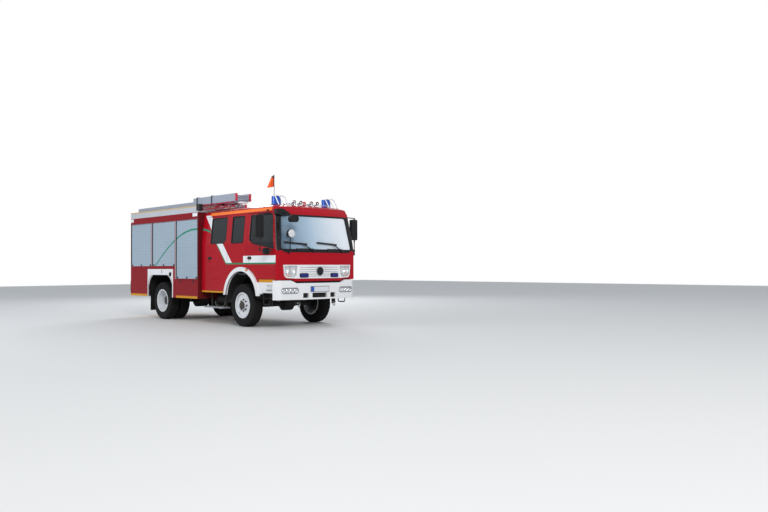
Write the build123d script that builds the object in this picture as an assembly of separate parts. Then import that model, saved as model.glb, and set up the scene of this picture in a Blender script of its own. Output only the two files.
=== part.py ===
from build123d import *
import os
from math import cos, pi, sin, sqrt

os.makedirs("parts", exist_ok=True)

# Fire engine: a two-axle truck chassis with a crew cab for six, an equipment body with roller
# shutters, and ladders on its roof. Millimetres, Z up, ground at z = 0. The front faces -Y, and
# the vehicle's right side is at -X. While it is modelled, y is the station behind the front axle.
# On saving, everything moves to the middle of the length over all.

# Stations and reaches
wheelbase = 3860
front_reach = 1700
tow_jaw_reach = 90

# Wheels
tyre_radius = 505
tyre_width = 275
bead_radius = 286
rim_flange_radius = 300
rim_width = 250
rim_wall = 10
front_tyre_x = 1012
rear_tyre_x = 1050
twin_spacing = 310
disc_wall = 14
hand_hole_count = 8
hand_hole_radius = 17
hand_hole_circle = 132
hub_radius = 88
running_gap = 0.4

# Steering
kingpin_x = 880
kingpin_radius = 22
axle_eye_radius = 55
axle_eye_height = 130
yoke_wall = 34
drum_radius = 200
spindle_radius = 45

# Axles and springs
axle_tube_radius = 62
front_case_radius = 165
front_case_x = 140
rear_case_radius = 200
spring_x = 392
spring_width = 76
spring_thickness = 64
spring_half_length = 640
spring_rise = 95

# Chassis frame
rail_outer_x = 430
rail_height = 220
rail_flange = 76
rail_wall = 8
rail_top_z = 980
rail_front_y = -1330
rail_rear_inset = 70
cross_member_width = 90
cross_member_height = 62

# Cab
cab_rear_y = 1830
cab_half_width = 1150
cab_front_y = -1455
cab_corner_y = -1375
cab_corner_radius = 40
cab_wall = 45
cab_bottom_z = 780
cab_nose_z = 1055
sill_z = 1770
belt_z = 1970
eaves_z = 2670
screen_lean = 160
tumblehome = 70
roof_shoulder_z = 2775
roof_top_z = 2825
floor_top_z = 1260
floor_wall = 40
tunnel_half_width = 420
tunnel_top_z = 1440
tunnel_wall = 30
step_well_depth = 290
step_wall = 30
step_floor = 28

# Doors and windows
door_gap = 8
door_seal = 10
door_front_y = -1330
door_rear_y = -200
door_bottom_z = 1130
door_top_z = 2640
crew_door_front_y = 650
crew_door_rear_y = 1530
crew_door_bottom_z = 828
crew_door_arch_gap = 57
door_edge_depth = 40
hinge_ahead = 15
hinge_depth = 5
hinge_radius = 12
hinge_length = 70
window_top_z = 2605
glass_thickness = 6
glass_depth = 14
screen_frame = 105
screen_bottom_z = 1790
screen_top_z = 2580

# Front wheel arch
arch_radius = 640
arch_centre_z = 660
flare_width = 105
flare_overhang = 50
flare_bottom_z = 742
skirt_bottom_z = 817
skirt_rear_y = -560
bumper_end_y = -1250

# Bumper and nose
bumper_front_y = -1485
bumper_corner_y = -1395
bumper_overhang = 15
bumper_corner_radius = 190
bumper_bottom_z = 660
bumper_top_z = 1098
bumper_wall = 60
bumper_gap = 8
grille_inset = 165
grille_bottom_z = 1140
grille_top_z = 1450
grille_wall = 22
headlamp_proud = 8
headlamp_depth = 45
lamp_gap = 0.3
fog_lamp_x = 815
fog_lamp_z = 866
fog_lamp_width = 430
fog_lamp_height = 130
flasher_x = 445
flasher_width = 210
flasher_bottom_z = 1175
flasher_height = 70
tow_eye_x = 520
tow_eye_z = 580
tow_eye_radius = 28
tow_eye_depth = 125

# Equipment body
body_half_width = 1250
body_gap = 10
body_overhang = 1770
body_bottom_z = 608
body_deck_z = 2796
body_wall = 40
body_floor_z = 1010
locker_inner_x = 600
rear_arch_half_length = 723
rear_arch_top_z = 1360
rear_arch_round = 330
wheel_box_x = 545
wheel_box_top_z = 1230
shutter_bottom_z = 1108
shutter_mid_bottom_z = 1440
shutter_top_z = 2623
shutter_post = 60
rear_post = 550
divider_ahead = 856
divider_behind = 480
slat_pitch = 44
slat_depth = 7
shutter_wall = 24
shutter_recess = 12
flap_bottom_z = 676
flap_top_z = 1076
flap_wall = 30
hinge_gap = 0.3
gallery_top_z = 2957
gallery_wall = 32
gallery_floor = 20
roof_locker_x = 950
roof_locker_width = 420
roof_locker_front_y = 3800
roof_locker_length = 1600
roof_locker_height = 204
roof_locker_wall = 15

# Roof ladders
ladder_width = 420
ladder_rail_depth = 92
ladder_rail_wall = 38
rung_pitch = 300
rung_radius = 15
ladder_clearance = 28
ladder_rear_inset = 280
right_ladder_x = -940
right_ladder_front_y = 250
upper_ladder_rear_y = 2250
left_ladder_x = 60
left_ladder_front_y = 1950
truss_front_y = 380
truss_bay = 340

# Cab fittings
driver_x = 620
passenger_x = -650
seat_width = 520
bench_width = 1900
steering_wheel_radius = 225
mirror_reach = 350
mirror_width = 200
mirror_top_z = 2570
mirror_height = 510
mirror_y = -1105
mirror_depth = 70
search_lamp_x = -860
search_lamp_z = 2150
search_lamp_radius = 90
beacon_x = 740
beacon_y = -800
beacon_radius = 105
beacon_height = 215
flag_mast_x = -470
flag_mast_y = -340
flag_mast_top_z = 3600
flag_mast_radius = 6

# Sizes that follow from these
flare_x = cab_half_width + flare_overhang
bumper_half_width = cab_half_width + bumper_overhang
bumper_height = bumper_top_z - bumper_bottom_z
grille_half_width = cab_half_width - grille_inset
body_front_y = cab_rear_y + body_gap
body_rear_y = wheelbase + body_overhang
divider_front_y = wheelbase - divider_ahead
divider_rear_y = wheelbase + divider_behind
rear_shutter_half = body_half_width - rear_post
rail_rear_y = body_rear_y - rail_rear_inset
rear_reach = body_overhang + tow_jaw_reach
ladder_bottom_z = gallery_top_z + ladder_clearance


def block(x, y, z):
    """Box between three pairs of limits."""
    size = [limit[1] - limit[0] for limit in (x, y, z)]
    middle = [(limit[0] + limit[1]) / 2 for limit in (x, y, z)]
    return Pos(*middle) * Box(*size)


def outline(points):
    """Flat face inside straight runs between points."""
    return make_face(Polyline(*points, close=True))


def side_prism(face, x):
    """A face drawn in (y, z), carried between two values of x."""
    plane = Plane(origin=(x[0], 0, 0), x_dir=(0, 1, 0), z_dir=(1, 0, 0))
    return extrude(plane * face, amount=x[1] - x[0])


def front_prism(face, y):
    """A face drawn in (x, z), carried between two values of y."""
    plane = Plane(origin=(0, y[1], 0), x_dir=(1, 0, 0), z_dir=(0, -1, 0))
    return extrude(plane * face, amount=y[1] - y[0])


def rod(start, end, radius):
    """Round bar between two points."""
    start = Vector(*start)
    end = Vector(*end)
    plane = Plane(origin=start, z_dir=end - start)
    return extrude(plane * Circle(radius), amount=(end - start).length)


def disc(x, radius, y, z):
    """Round disc across the vehicle, between two values of x."""
    return rod((x[0], y, z), (x[1], y, z), radius)


def pair(shape):
    """A piece on the right side, with its mirror image on the left."""
    return [shape, mirror(shape, about=Plane.YZ)]


def save(name, *shapes):
    """One node: its solids, moved from the front axle to the middle of the length."""
    axle_y = front_reach - (front_reach + wheelbase + rear_reach) / 2
    solids = [solid for shape in shapes for solid in shape.solids()]
    moved = [Pos(0, axle_y, 0) * solid for solid in solids]
    export_step(moved[0] if len(moved) == 1 else Compound(moved), f"parts/{name}.step")


# Tyres and rims, drawn as half sections in (distance from the wheel's middle, radius)

def turned(points, y, x):
    """Ring turned about a wheel's axis, its middle at x."""
    plane = Plane(origin=(x, y, tyre_radius), x_dir=(-1, 0, 0), z_dir=(0, 1, 0))
    axis = Axis((x, y, tyre_radius), (1, 0, 0))
    return revolve(plane * outline(points), axis=axis)


def tyre(y, x):
    half = tyre_width / 2
    # columns: distance outwards from the middle, radius
    section = [
        (rim_width / 2 - 12, bead_radius),
        (rim_width / 2 - 12, rim_flange_radius),
        (half - 6, bead_radius + 48),
        (half, bead_radius + 110),
        (half - 8, tyre_radius - 38),
        (half - 28, tyre_radius - 6),
        (half - 60, tyre_radius),
    ]
    mirrored = [(-offset, radius) for offset, radius in reversed(section)]
    return turned(section + mirrored, y, x)


def rim_barrel(y, x):
    half = rim_width / 2
    inner = bead_radius - rim_wall
    section = [
        (half, rim_flange_radius),
        (half - 12, rim_flange_radius),
        (half - 12, bead_radius),
        (-half + 12, bead_radius),
        (-half + 12, rim_flange_radius),
        (-half, rim_flange_radius),
        (-half, inner),
        (half, inner),
    ]
    return turned(section, y, x)


def hand_holes(y, x, length):
    """Cutters for the ring of hand holes through a wheel's disc."""
    holes = []
    for index in range(hand_hole_count):
        angle = 2 * pi * index / hand_hole_count
        hole_y = y + hand_hole_circle * cos(angle)
        hole_z = tyre_radius + hand_hole_circle * sin(angle)
        holes.append(disc((x - length, x + length), hand_hole_radius, hole_y, hole_z))
    return holes


def front_rim():
    """Right front rim, with its hub turning on the knuckle's spindle."""
    x = -front_tyre_x
    face_x = x - rim_width / 2 + 40
    rim = rim_barrel(0, x)
    rim += disc((face_x, face_x + disc_wall), bead_radius - rim_wall + 2, 0, tyre_radius)
    rim += disc((face_x - 58, face_x + 52), hub_radius, 0, tyre_radius)
    for hole in hand_holes(0, face_x, 40):
        rim -= hole
    bore = spindle_radius + running_gap
    return rim - disc((face_x - 20, face_x + 60), bore, 0, tyre_radius)


def rear_rims():
    """Right pair of rear rims on one hub."""
    y = 0
    middle = -rear_tyre_x + twin_spacing / 2
    rims = rim_barrel(y, -rear_tyre_x)
    rims += rim_barrel(y, -rear_tyre_x + twin_spacing)
    inner = bead_radius - rim_wall
    # columns: outwards from between the rims, radius; the dished disc of the outer rim
    dish = [
        (1, 90),
        (1, 195),
        (62, inner + 2),
        (62 + disc_wall, inner + 2),
        (1 + disc_wall, 190),
        (1 + disc_wall, 90),
    ]
    outer = turned(dish, y, middle)
    inward = turned([(-offset, radius) for offset, radius in reversed(dish)], y, middle)
    for hole in hand_holes(y, middle, 90):
        outer -= hole
        inward -= hole
    rims += outer
    rims += inward
    rims += disc((middle - 150, middle + 16), 120, y, tyre_radius)
    bore = axle_tube_radius + running_gap
    rims -= disc((middle - 60, middle + 40), bore, y, tyre_radius)
    return Pos(0, wheelbase, 0) * rims


def knuckle():
    """Right steering knuckle: a yoke on its kingpin, the brake drum and the wheel's spindle."""
    x = -kingpin_x
    half = axle_eye_height / 2 + 1
    drum_x = x - axle_eye_radius - 8
    yoke = half + yoke_wall
    body = rod((x, 0, tyre_radius - yoke), (x, 0, tyre_radius + yoke), kingpin_radius)
    for low in (tyre_radius - yoke, tyre_radius + half):
        body += block((drum_x - 5, x), (-45, 45), (low, low + yoke_wall))
        body += rod((x, 0, low), (x, 0, low + yoke_wall), 45)
    body += disc((drum_x - 90, drum_x), drum_radius, 0, tyre_radius)
    spindle_end = -front_tyre_x - rim_width / 2 + 40 - 18
    return body + disc((spindle_end, drum_x), spindle_radius, 0, tyre_radius)


# Axles with their leaf springs

def leaf_spring(y, x, axle_top):
    """Arched leaf pack that sits on an axle and hangs from the rail at both ends."""
    middle = axle_top + spring_thickness / 2
    end = middle + spring_rise
    low = ThreePointArc(
        (y - spring_half_length, end - spring_thickness / 4),
        (y, middle - spring_thickness / 2),
        (y + spring_half_length, end - spring_thickness / 4),
    )
    high = ThreePointArc(
        (y - spring_half_length, end + spring_thickness / 4),
        (y, middle + spring_thickness / 2),
        (y + spring_half_length, end + spring_thickness / 4),
    )
    ends = [
        Line((y + side * spring_half_length, end - spring_thickness / 4),
             (y + side * spring_half_length, end + spring_thickness / 4))
        for side in (-1, 1)
    ]
    face = make_face(low + high + ends[0] + ends[1])
    return side_prism(face, (x - spring_width / 2, x + spring_width / 2))


def front_axle():
    tube = disc((-kingpin_x, kingpin_x), axle_tube_radius, 0, tyre_radius)
    axle = tube + disc((front_case_x - 120, front_case_x + 120), front_case_radius, 0, tyre_radius)
    for side in (-1, 1):
        x = side * kingpin_x
        half = axle_eye_height / 2
        axle -= block((x - 70, x + 70), (-80, 80), (tyre_radius - 90, tyre_radius + 90))
        eye = rod((x, 0, tyre_radius - half), (x, 0, tyre_radius + half), axle_eye_radius)
        neck_x = sorted((x, side * (kingpin_x - 90)))
        neck = block(neck_x, (-38, 38), (tyre_radius - 50, tyre_radius + 50))
        axle += eye + neck
        axle -= rod((x, 0, 0), (x, 0, 2 * tyre_radius), kingpin_radius + running_gap)
        axle += leaf_spring(0, side * spring_x, tyre_radius + axle_tube_radius - 6)
    return axle


def rear_axle():
    y = wheelbase
    end = rear_tyre_x - twin_spacing / 2 + 50
    axle = disc((-end, end), axle_tube_radius, y, tyre_radius)
    axle += disc((-150, 150), rear_case_radius, y, tyre_radius)
    for side in (-1, 1):
        drum_x = rear_tyre_x - twin_spacing
        drum = sorted((side * (drum_x - 90), side * (drum_x + 100)))
        axle += disc(drum, drum_radius, y, tyre_radius)
        axle += leaf_spring(y, side * spring_x, tyre_radius + axle_tube_radius - 6)
    return axle


# Chassis

def rails():
    """Two channel rails, open towards the middle of the vehicle."""
    low = rail_top_z - rail_height
    inner = rail_outer_x - rail_flange
    rail = block((inner, rail_outer_x), (rail_front_y, rail_rear_y), (low, rail_top_z))
    hollow = block(
        (inner - 1, rail_outer_x - rail_wall),
        (rail_front_y - 1, rail_rear_y + 1),
        (low + rail_wall, rail_top_z - rail_wall),
    )
    return pair(rail - hollow)


def cross_members():
    """What is bolted to the rails: cross members, spring hangers, mounts, bumper arms and tow jaw."""
    low = rail_top_z - rail_height
    high = rail_top_z - rail_wall
    inner = rail_outer_x - rail_flange
    web = rail_outer_x - rail_wall
    pieces = []
    # stations of the cross members, clear of the engine and of the prop shafts
    for y in (rail_front_y + 10, 1500, 2700, wheelbase - 620, wheelbase + 620):
        pieces.append(block((-web, web), (y, y + cross_member_width), (high - cross_member_height, high)))
    spring_end_z = tyre_radius + axle_tube_radius - 6 + spring_thickness / 2 + spring_rise
    for axle_y in (0, wheelbase):
        for end in (-1, 1):
            y = axle_y + end * (spring_half_length + 20)
            pieces += pair(block((spring_x - 38, spring_x + 38), (y - 20, y + 20), (spring_end_z - 30, low)))
    pieces += pair(block((inner, rail_outer_x), (body_front_y + 20, rail_rear_y), (rail_top_z, body_floor_z)))
    for y in (-1200, 1640):
        pieces += pair(block((inner, rail_outer_x), (y, y + 80), (rail_top_z, floor_top_z - floor_wall)))
    tail_y = (rail_rear_y - 30, rail_rear_y)
    tail = block((-web, web), tail_y, (low + rail_wall, high))
    tail += block((-inner, inner), tail_y, (low - 60, high))
    jaw_end = body_rear_y + tow_jaw_reach
    jaw = block((-90, 90), (rail_rear_y - 20, jaw_end), (700, 800))
    jaw -= block((-91, 91), (jaw_end - 75, jaw_end + 1), (730, 770))
    jaw -= rod((0, jaw_end - 45, 650), (0, jaw_end - 45, 850), 25)
    pieces.append(tail + jaw)
    hollow = extrude(bumper_section(bumper_wall), amount=bumper_height)
    arm = block((rail_outer_x, 560), (bumper_front_y, rail_front_y + 60), (780, 860))
    hook_x = (tow_eye_x - 15, tow_eye_x + 15)
    hook = block(hook_x, (bumper_front_y + 90, rail_front_y + 40), (tow_eye_z - 40, 781))
    hook -= disc(hook_x, tow_eye_radius, bumper_front_y + tow_eye_depth, tow_eye_z)
    return pieces + pair((arm & hollow) + hook)


def drivetrain():
    """Engine as a plain block, gearbox, transfer case and the two prop shafts."""
    engine = block((-300, 300), (-420, 560), (700, 1190))
    web = rail_outer_x - rail_wall
    unit = engine + block((-170, 170), (560, 1180), (720, 1060))
    for y in (-300, 420):
        unit += block((-web, web), (y, y + 60), (790, 850))
    unit += block((-250, 210), (1660, 2050), (640, 900))
    unit += block((-web, web), (1820, 1880), (790, 850))
    unit += rod((0, 1180, 830), (0, 1660, 810), 45)
    unit += rod((0, 2050, 730), (0, wheelbase - 120, tyre_radius + 50), 50)
    return unit - disc((-200, 200), rear_case_radius, wheelbase, tyre_radius)


def tanks():
    """Fuel tank on the left, two air tanks on the right, all strapped to the rails."""
    fuel = block((rail_outer_x, 760), (1000, 1760), (480, 940))
    fuel = fillet(fuel.edges().filter_by(Axis.Y), 70)
    fuel += block((rail_outer_x, 500), (1100, 1660), (800, 940))
    air = rod((-640, 1020, 620), (-640, 1760, 620), 105) + rod((-640, 1020, 840), (-640, 1760, 840), 105)
    for y in (1180, 1580):
        air += block((-650, -rail_outer_x), (y, y + 40), (600, 960))
    return [fuel, air]


# Cab skin: horizontal sections that lean back above the sill and inwards above the belt

def lean(z):
    return screen_lean * max(0, z - sill_z) / (eaves_z - sill_z)


def half_width(z):
    return cab_half_width - tumblehome * max(0, z - belt_z) / (eaves_z - belt_z)


def plan_section(z, width, front_y, corner_y, rear_y, radius):
    """Horizontal section with a bowed front and rounded front corners."""
    bow = ThreePointArc((-width, corner_y), (0, front_y), (width, corner_y))
    rest = Polyline((width, corner_y), (width, rear_y), (-width, rear_y), (-width, corner_y))
    face = make_face(bow + rest)
    corners = face.vertices().sort_by(Axis.Y)[:2]
    return Pos(0, 0, z) * fillet(corners, radius)


def cab_section(z, inset):
    return plan_section(
        z,
        half_width(z) - inset,
        cab_front_y + lean(z) + inset,
        cab_corner_y + lean(z) + inset,
        cab_rear_y - inset,
        max(cab_corner_radius - inset / 2, 10),
    )


def cab_volume(inset, bottom, top):
    heights = [bottom] + [z for z in (sill_z, belt_z) if bottom < z < top] + [top]
    volume = None
    for low, high in zip(heights, heights[1:]):
        layer = loft([cab_section(low, inset), cab_section(high, inset)], ruled=True)
        volume = layer if volume is None else volume + layer
    return volume


def front_door_outline(grow=0):
    """Front door in (y, z): leading edge along the screen pillar, lower edge over the arch."""
    arch = arch_radius + flare_width + door_gap - grow
    low = door_bottom_z - grow
    rear = door_rear_y + grow
    top = door_top_z + grow
    lead_low = door_front_y - grow
    lead_top = door_front_y - grow + lean(top)
    arc_start_y = -sqrt(arch**2 - (low - arch_centre_z)**2)
    arc_end_z = arch_centre_z + sqrt(arch**2 - rear**2)
    middle_y = (arc_start_y + rear) / 2
    middle = (middle_y, arch_centre_z + sqrt(arch**2 - middle_y**2))
    edges = Polyline(
        (rear, arc_end_z), (rear, top), (lead_top, top),
        (lead_low, sill_z), (lead_low, low), (arc_start_y, low),
    )
    return make_face(edges + ThreePointArc((arc_start_y, low), middle, (rear, arc_end_z)))


def crew_door_outline(grow=0):
    """Crew door in (y, z), its lower front corner cut round the wheel arch."""
    y = (crew_door_front_y - grow, crew_door_rear_y + grow)
    z = (crew_door_bottom_z - grow, door_top_z + grow)
    door = outline([(y[0], z[0]), (y[1], z[0]), (y[1], z[1]), (y[0], z[1])])
    return door - Pos(0, arch_centre_z) * Circle(arch_radius + flare_width + crew_door_arch_gap - grow)


# columns: name, corners in (y, z)
window_corners = {
    "front_door": [
        (-300, 2030), (-460, 1946), (-1285, 1814),
        (-1166, window_top_z - 50), (-1140, window_top_z), (-300, window_top_z),
    ],
    "middle": [(-40, 1975), (474, 1975), (474, window_top_z), (-40, window_top_z)],
    "crew_door": [(800, 1985), (1410, 1985), (1410, window_top_z), (718, window_top_z), (718, 2075)],
}


def window_outline(name, grow=0):
    face = outline(window_corners[name])
    face = fillet(face.vertices(), 24)
    return offset(face, amount=grow) if grow else face


def door_hinges(lead_y, heights):
    """Right door's hinge knuckles on the pillar, and the pockets for them in the door."""
    x = -cab_half_width + hinge_depth
    y = lead_y + hinge_ahead
    knuckles = None
    pockets = None
    for height in heights:
        low = height - hinge_length / 2
        high = height + hinge_length / 2
        knuckle = rod((x, y, low), (x, y, high), hinge_radius)
        knuckle += block((x - 4, x + 6), (lead_y - door_gap - 4, y), (low, high))
        low -= running_gap
        high += running_gap
        pocket = rod((x, y, low), (x, y, high), hinge_radius + running_gap)
        pocket += block((-cab_half_width - 1, x + 8), (lead_y - 1, y), (low, high))
        knuckles = knuckle if knuckles is None else knuckles + knuckle
        pockets = pocket if pockets is None else pockets + pocket
    return knuckles, pockets


def right_side_cut(face):
    """Cutter through the cab's right side."""
    return side_prism(face, (-cab_half_width - 60, -cab_half_width + 220))


def cab_pieces():
    """The cab's panels, cut out of one skin where the real panels meet."""
    outer = cab_volume(0, cab_bottom_z, eaves_z)
    inner = cab_volume(cab_wall, cab_bottom_z, eaves_z)
    skin = outer - inner
    below_arch = block((-1300, 1300), (-2000, skirt_rear_y + 900), (0, arch_centre_z))
    arch_cut = disc((-1300, 1300), arch_radius, 0, arch_centre_z)
    nose_cut = block((-1300, 1300), (-2000, 0), (0, cab_nose_z))
    bumper_cut = block((-1300, 1300), (-2000, bumper_end_y + bumper_gap), (0, bumper_top_z + bumper_gap))
    frame_cut = block((-locker_inner_x, locker_inner_x), (0, 2000), (0, body_floor_z))
    skin = skin - arch_cut - below_arch - nose_cut - bumper_cut - frame_cut

    nose_limit = [
        (-2000, 0), (door_front_y, 0), (door_front_y, sill_z),
        (door_front_y + lean(eaves_z), eaves_z), (-2000, eaves_z),
    ]
    nose = side_prism(outline(nose_limit), (-1300, 1300))
    rear = block((-1300, 1300), (cab_rear_y - cab_wall, 2000), (0, 3000))
    front = skin & nose
    rear_wall = skin & rear
    sides = skin - nose - rear

    bottom_half = half_width(screen_bottom_z) - screen_frame
    top_half = half_width(screen_top_z) - screen_frame - 30
    screen_corners = [
        (-bottom_half, screen_bottom_z), (bottom_half, screen_bottom_z),
        (top_half, screen_top_z), (-top_half, screen_top_z),
    ]
    screen_outline = fillet(outline(screen_corners).vertices(), 60)
    screen_cut = front_prism(screen_outline, (-2000, -1050))
    front -= screen_cut
    front -= block((-1000, 1000), (-2000, -1000), (0, grille_bottom_z - 20))
    for side in (-1, 1):
        front -= front_prism(headlamp_outline(side, lamp_gap), (-2000, -1300))

    glass_skin = cab_volume(glass_depth, screen_bottom_z - 20, screen_top_z + 20)
    glass_skin -= cab_volume(glass_depth + glass_thickness, screen_bottom_z - 20, screen_top_z + 20)
    windscreen = glass_skin & screen_cut

    right = sides & block((-1300, 0), (-2000, 3000), (0, 3000))
    door_shapes = {"front_door": front_door_outline, "crew_door": crew_door_outline}
    pieces = {}
    side_glass = cab_volume(glass_depth, screen_bottom_z - 20, door_top_z)
    side_glass -= cab_volume(glass_depth + glass_thickness, screen_bottom_z - 20, door_top_z)
    for name, shape in door_shapes.items():
        door = (right & right_side_cut(shape())) - right_side_cut(window_outline(name))
        pieces[name] = door
        right -= right_side_cut(shape(door_gap))
        for cutter in pair(right_side_cut(shape(door_gap))):
            front -= cutter
    # the skin's inner corner is cut off the door, so that its edge swings clear of the floor
    edge_x = (-cab_half_width + cab_wall, -cab_half_width + 220)
    pieces["front_door"] -= block(
        edge_x, (door_front_y - 1, door_front_y + door_edge_depth), (door_bottom_z - 1, sill_z)
    )
    front_knuckles, pockets = door_hinges(door_front_y, (1250, 1640))
    pieces["front_door"] -= pockets
    for knuckles in pair(front_knuckles):
        front += knuckles
    crew_knuckles, pockets = door_hinges(crew_door_front_y, (1260, 1850))
    pieces["crew_door"] -= pockets
    right += crew_knuckles
    for name in window_corners:
        right -= right_side_cut(window_outline(name))
        pieces[name + "_glass"] = side_glass & right_side_cut(window_outline(name))
    pieces["sides"] = right
    pieces["front"] = front
    pieces["rear"] = rear_wall
    pieces["windscreen"] = windscreen
    return pieces


def roof_volume(inset):
    """Domed roof with rounded edges, drawn in by a wall's thickness."""
    volume = None
    sections = []
    # columns: height, inwards from the eaves, back from the leaning front
    for z, inwards, back in ((eaves_z, 0, 0), (roof_shoulder_z, 32, 45), (roof_top_z, 160, 190)):
        width = half_width(eaves_z) - inwards - inset
        front = cab_front_y + screen_lean + back + inset
        corner = cab_corner_y + screen_lean + back + inset
        height = z - (inset if z > eaves_z else 0)
        sections.append(plan_section(height, width, front, corner, cab_rear_y - inset, 60))
    for low, high in zip(sections, sections[1:]):
        layer = loft([low, high], ruled=True)
        volume = layer if volume is None else volume + layer
    return volume


def cab_roof():
    return roof_volume(0) - roof_volume(cab_wall - 10)


def cab_floor():
    floor = cab_volume(cab_wall, floor_top_z - floor_wall, floor_top_z)
    half = tunnel_half_width
    tunnel = block((-half, half), (-1000, 640), (floor_top_z, tunnel_top_z))
    half -= tunnel_wall
    hollow = block((-half, half), (-970, 610), (floor_top_z - floor_wall, tunnel_top_z - tunnel_wall))
    floor = floor + tunnel - hollow
    step_x = cab_half_width - cab_wall
    well_x = step_x - step_well_depth
    wall_x = well_x - step_wall
    low = crew_door_bottom_z - step_floor
    for side in (-1, 1):
        y = (crew_door_front_y + 20, crew_door_rear_y - 20)
        floor -= block(sorted((side * well_x, side * step_x)), y, (1000, 1400))
        floor += block(sorted((side * wall_x, side * well_x)), y, (low, floor_top_z))
        floor += block(sorted((side * wall_x, side * step_x)), y, (low, crew_door_bottom_z))
    # the floor stands back from the doors by the depth of their seals
    doors = [
        (door_front_y - 10, door_rear_y + door_gap),
        (crew_door_front_y - door_gap, crew_door_rear_y + door_gap),
    ]
    for y in doors:
        for cutter in pair(block((step_x - door_seal, step_x + 1), y, (0, floor_top_z + 1))):
            floor -= cutter
    return floor


# Nose

def nose_outline(z, ahead, radius):
    return plan_section(z, cab_half_width + ahead, cab_front_y - ahead, cab_corner_y - ahead, 0, radius)


def headlamp_outline(side, grow=0):
    """Headlamp as seen from ahead: full along its top, slanting outwards, its lower corners rounded."""
    outer = grille_half_width - 17
    top = grille_top_z - 12
    low = grille_bottom_z + 24
    corners = [
        (620, top), (outer, top), (outer - 22, low + 52), (outer - 90, low + 8), (700, low), (640, low + 60)
    ]
    face = outline([(side * x, z) for x, z in corners])
    face = fillet(face.vertices(), 16)
    return offset(face, amount=grow) if grow else face


def grille_panel():
    low = grille_bottom_z
    ahead = grille_wall
    outer = extrude(nose_outline(low, ahead, cab_corner_radius), amount=grille_top_z - low)
    inner = extrude(nose_outline(low, 0, cab_corner_radius), amount=grille_top_z - low)
    half = grille_half_width
    right_edge = [(660, low), (half - 75, low + 16), (half - 25, low + 70), (half, grille_top_z)]
    shape = outline(right_edge + [(-x, z) for x, z in reversed(right_edge)])
    panel = (outer - inner) & front_prism(shape, (-2000, -1000))
    for side in (-1, 1):
        panel -= front_prism(headlamp_outline(side, lamp_gap), (-2000, -1000))
    for z in range(5):
        height = low + 62 + z * 48
        panel -= block((-330, 330), (-2000, cab_front_y - 8), (height, height + 20))
    return panel


def bumper_section(inset):
    return plan_section(
        bumper_bottom_z, bumper_half_width - inset, bumper_front_y + inset,
        bumper_corner_y + inset, 0, bumper_corner_radius - inset / 2,
    )


def fog_lamp_outline(side):
    return Pos(side * fog_lamp_x, fog_lamp_z) * SlotOverall(fog_lamp_width, fog_lamp_height)


def bumper():
    beam = extrude(bumper_section(0), amount=bumper_height)
    beam -= extrude(bumper_section(bumper_wall), amount=bumper_height)
    beam &= block((-1300, 1300), (-2000, bumper_end_y), (0, 2000))
    top = bumper_top_z + 1
    low = bumper_top_z - 64
    beam -= front_prism(outline([(-800, top), (-650, low), (650, low), (800, top)]), (-2000, 0))
    for side in (-1, 1):
        beam -= front_prism(fog_lamp_outline(side), (-2000, -1200))
    # columns: middle, width of the three cooling slots
    for middle, width in ((-395, 160), (0, 435), (395, 160)):
        slot = Pos(middle, 753) * RectangleRounded(width, 110, 12)
        beam -= front_prism(slot, (-2000, -1200))
    return beam


def front_lamps():
    lamps = []
    for side in (-1, 1):
        low = grille_bottom_z
        lens = extrude(nose_outline(low, grille_wall + headlamp_proud, cab_corner_radius), amount=400)
        lens -= extrude(nose_outline(low, -headlamp_depth, cab_corner_radius), amount=400)
        lamps.append(lens & front_prism(headlamp_outline(side), (-2000, -1000)))
        fog = extrude(bumper_section(12), amount=bumper_height)
        fog -= extrude(bumper_section(50), amount=bumper_height)
        lamps.append(fog & front_prism(fog_lamp_outline(side), (-2000, -1200)))
    return lamps


def front_arches():
    """White flare around the front wheel, joined to the skirt ahead of it."""
    ring = Pos(0, arch_centre_z) * (Circle(arch_radius + flare_width) - Circle(arch_radius))
    above = outline([(-1000, flare_bottom_z), (1000, flare_bottom_z), (1000, 2000), (-1000, 2000)])
    flare = side_prism(ring & above, (-flare_x, -cab_half_width))
    skirt = outline([
        (bumper_end_y, skirt_bottom_z), (-780, skirt_bottom_z), (-780, cab_nose_z), (bumper_end_y, cab_nose_z)
    ])
    front = outline([(-820, 790), (-600, 790), (-600, cab_nose_z), (-820, cab_nose_z)])
    apron = side_prism(skirt + front, (-flare_x + 35, -cab_half_width + 40))
    apron -= disc((-1300, -1000), arch_radius, 0, arch_centre_z)
    step = block((-flare_x, -cab_half_width + 20), (bumper_end_y + 12, -1030), (870, 998))
    return flare + (apron - step)


# Equipment body

def body_shell():
    def volume(inset):
        y = (body_front_y + inset, body_rear_y - inset)
        whole = block(
            (-body_half_width + inset, body_half_width - inset), y, (body_floor_z + inset, body_deck_z - inset)
        )
        for side in (-1, 1):
            x = sorted((side * (locker_inner_x + inset), side * (body_half_width - inset)))
            whole += block(x, y, (body_bottom_z + inset, body_floor_z + inset + 1))
        for side in (-1, 1):
            x = sorted((side * (wheel_box_x - inset), side * (body_half_width + 20)))
            reach = rear_arch_half_length - 2 + inset
            whole -= block(x, (wheelbase - reach, wheelbase + reach), (0, wheel_box_top_z + inset))
        return whole

    shell = volume(0) - volume(body_wall)
    for side in (-1, 1):
        x = sorted((side * (body_half_width - body_wall - 1), side * (body_half_width + 1)))
        for y, z in shutter_openings():
            shell -= block(x, y, z)
        reach = rear_arch_half_length
        shell -= block(x, (wheelbase - reach, wheelbase + reach), (0, rear_arch_top_z))
        y = (body_front_y + 8, divider_front_y - 14)
        shell -= block(x, y, (flap_bottom_z - hinge_gap, flap_top_z + 6))
    y = (body_rear_y - body_wall - 1, body_rear_y + 1)
    shell -= block((-rear_shutter_half, rear_shutter_half), y, (shutter_bottom_z, shutter_top_z))
    return shell


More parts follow.
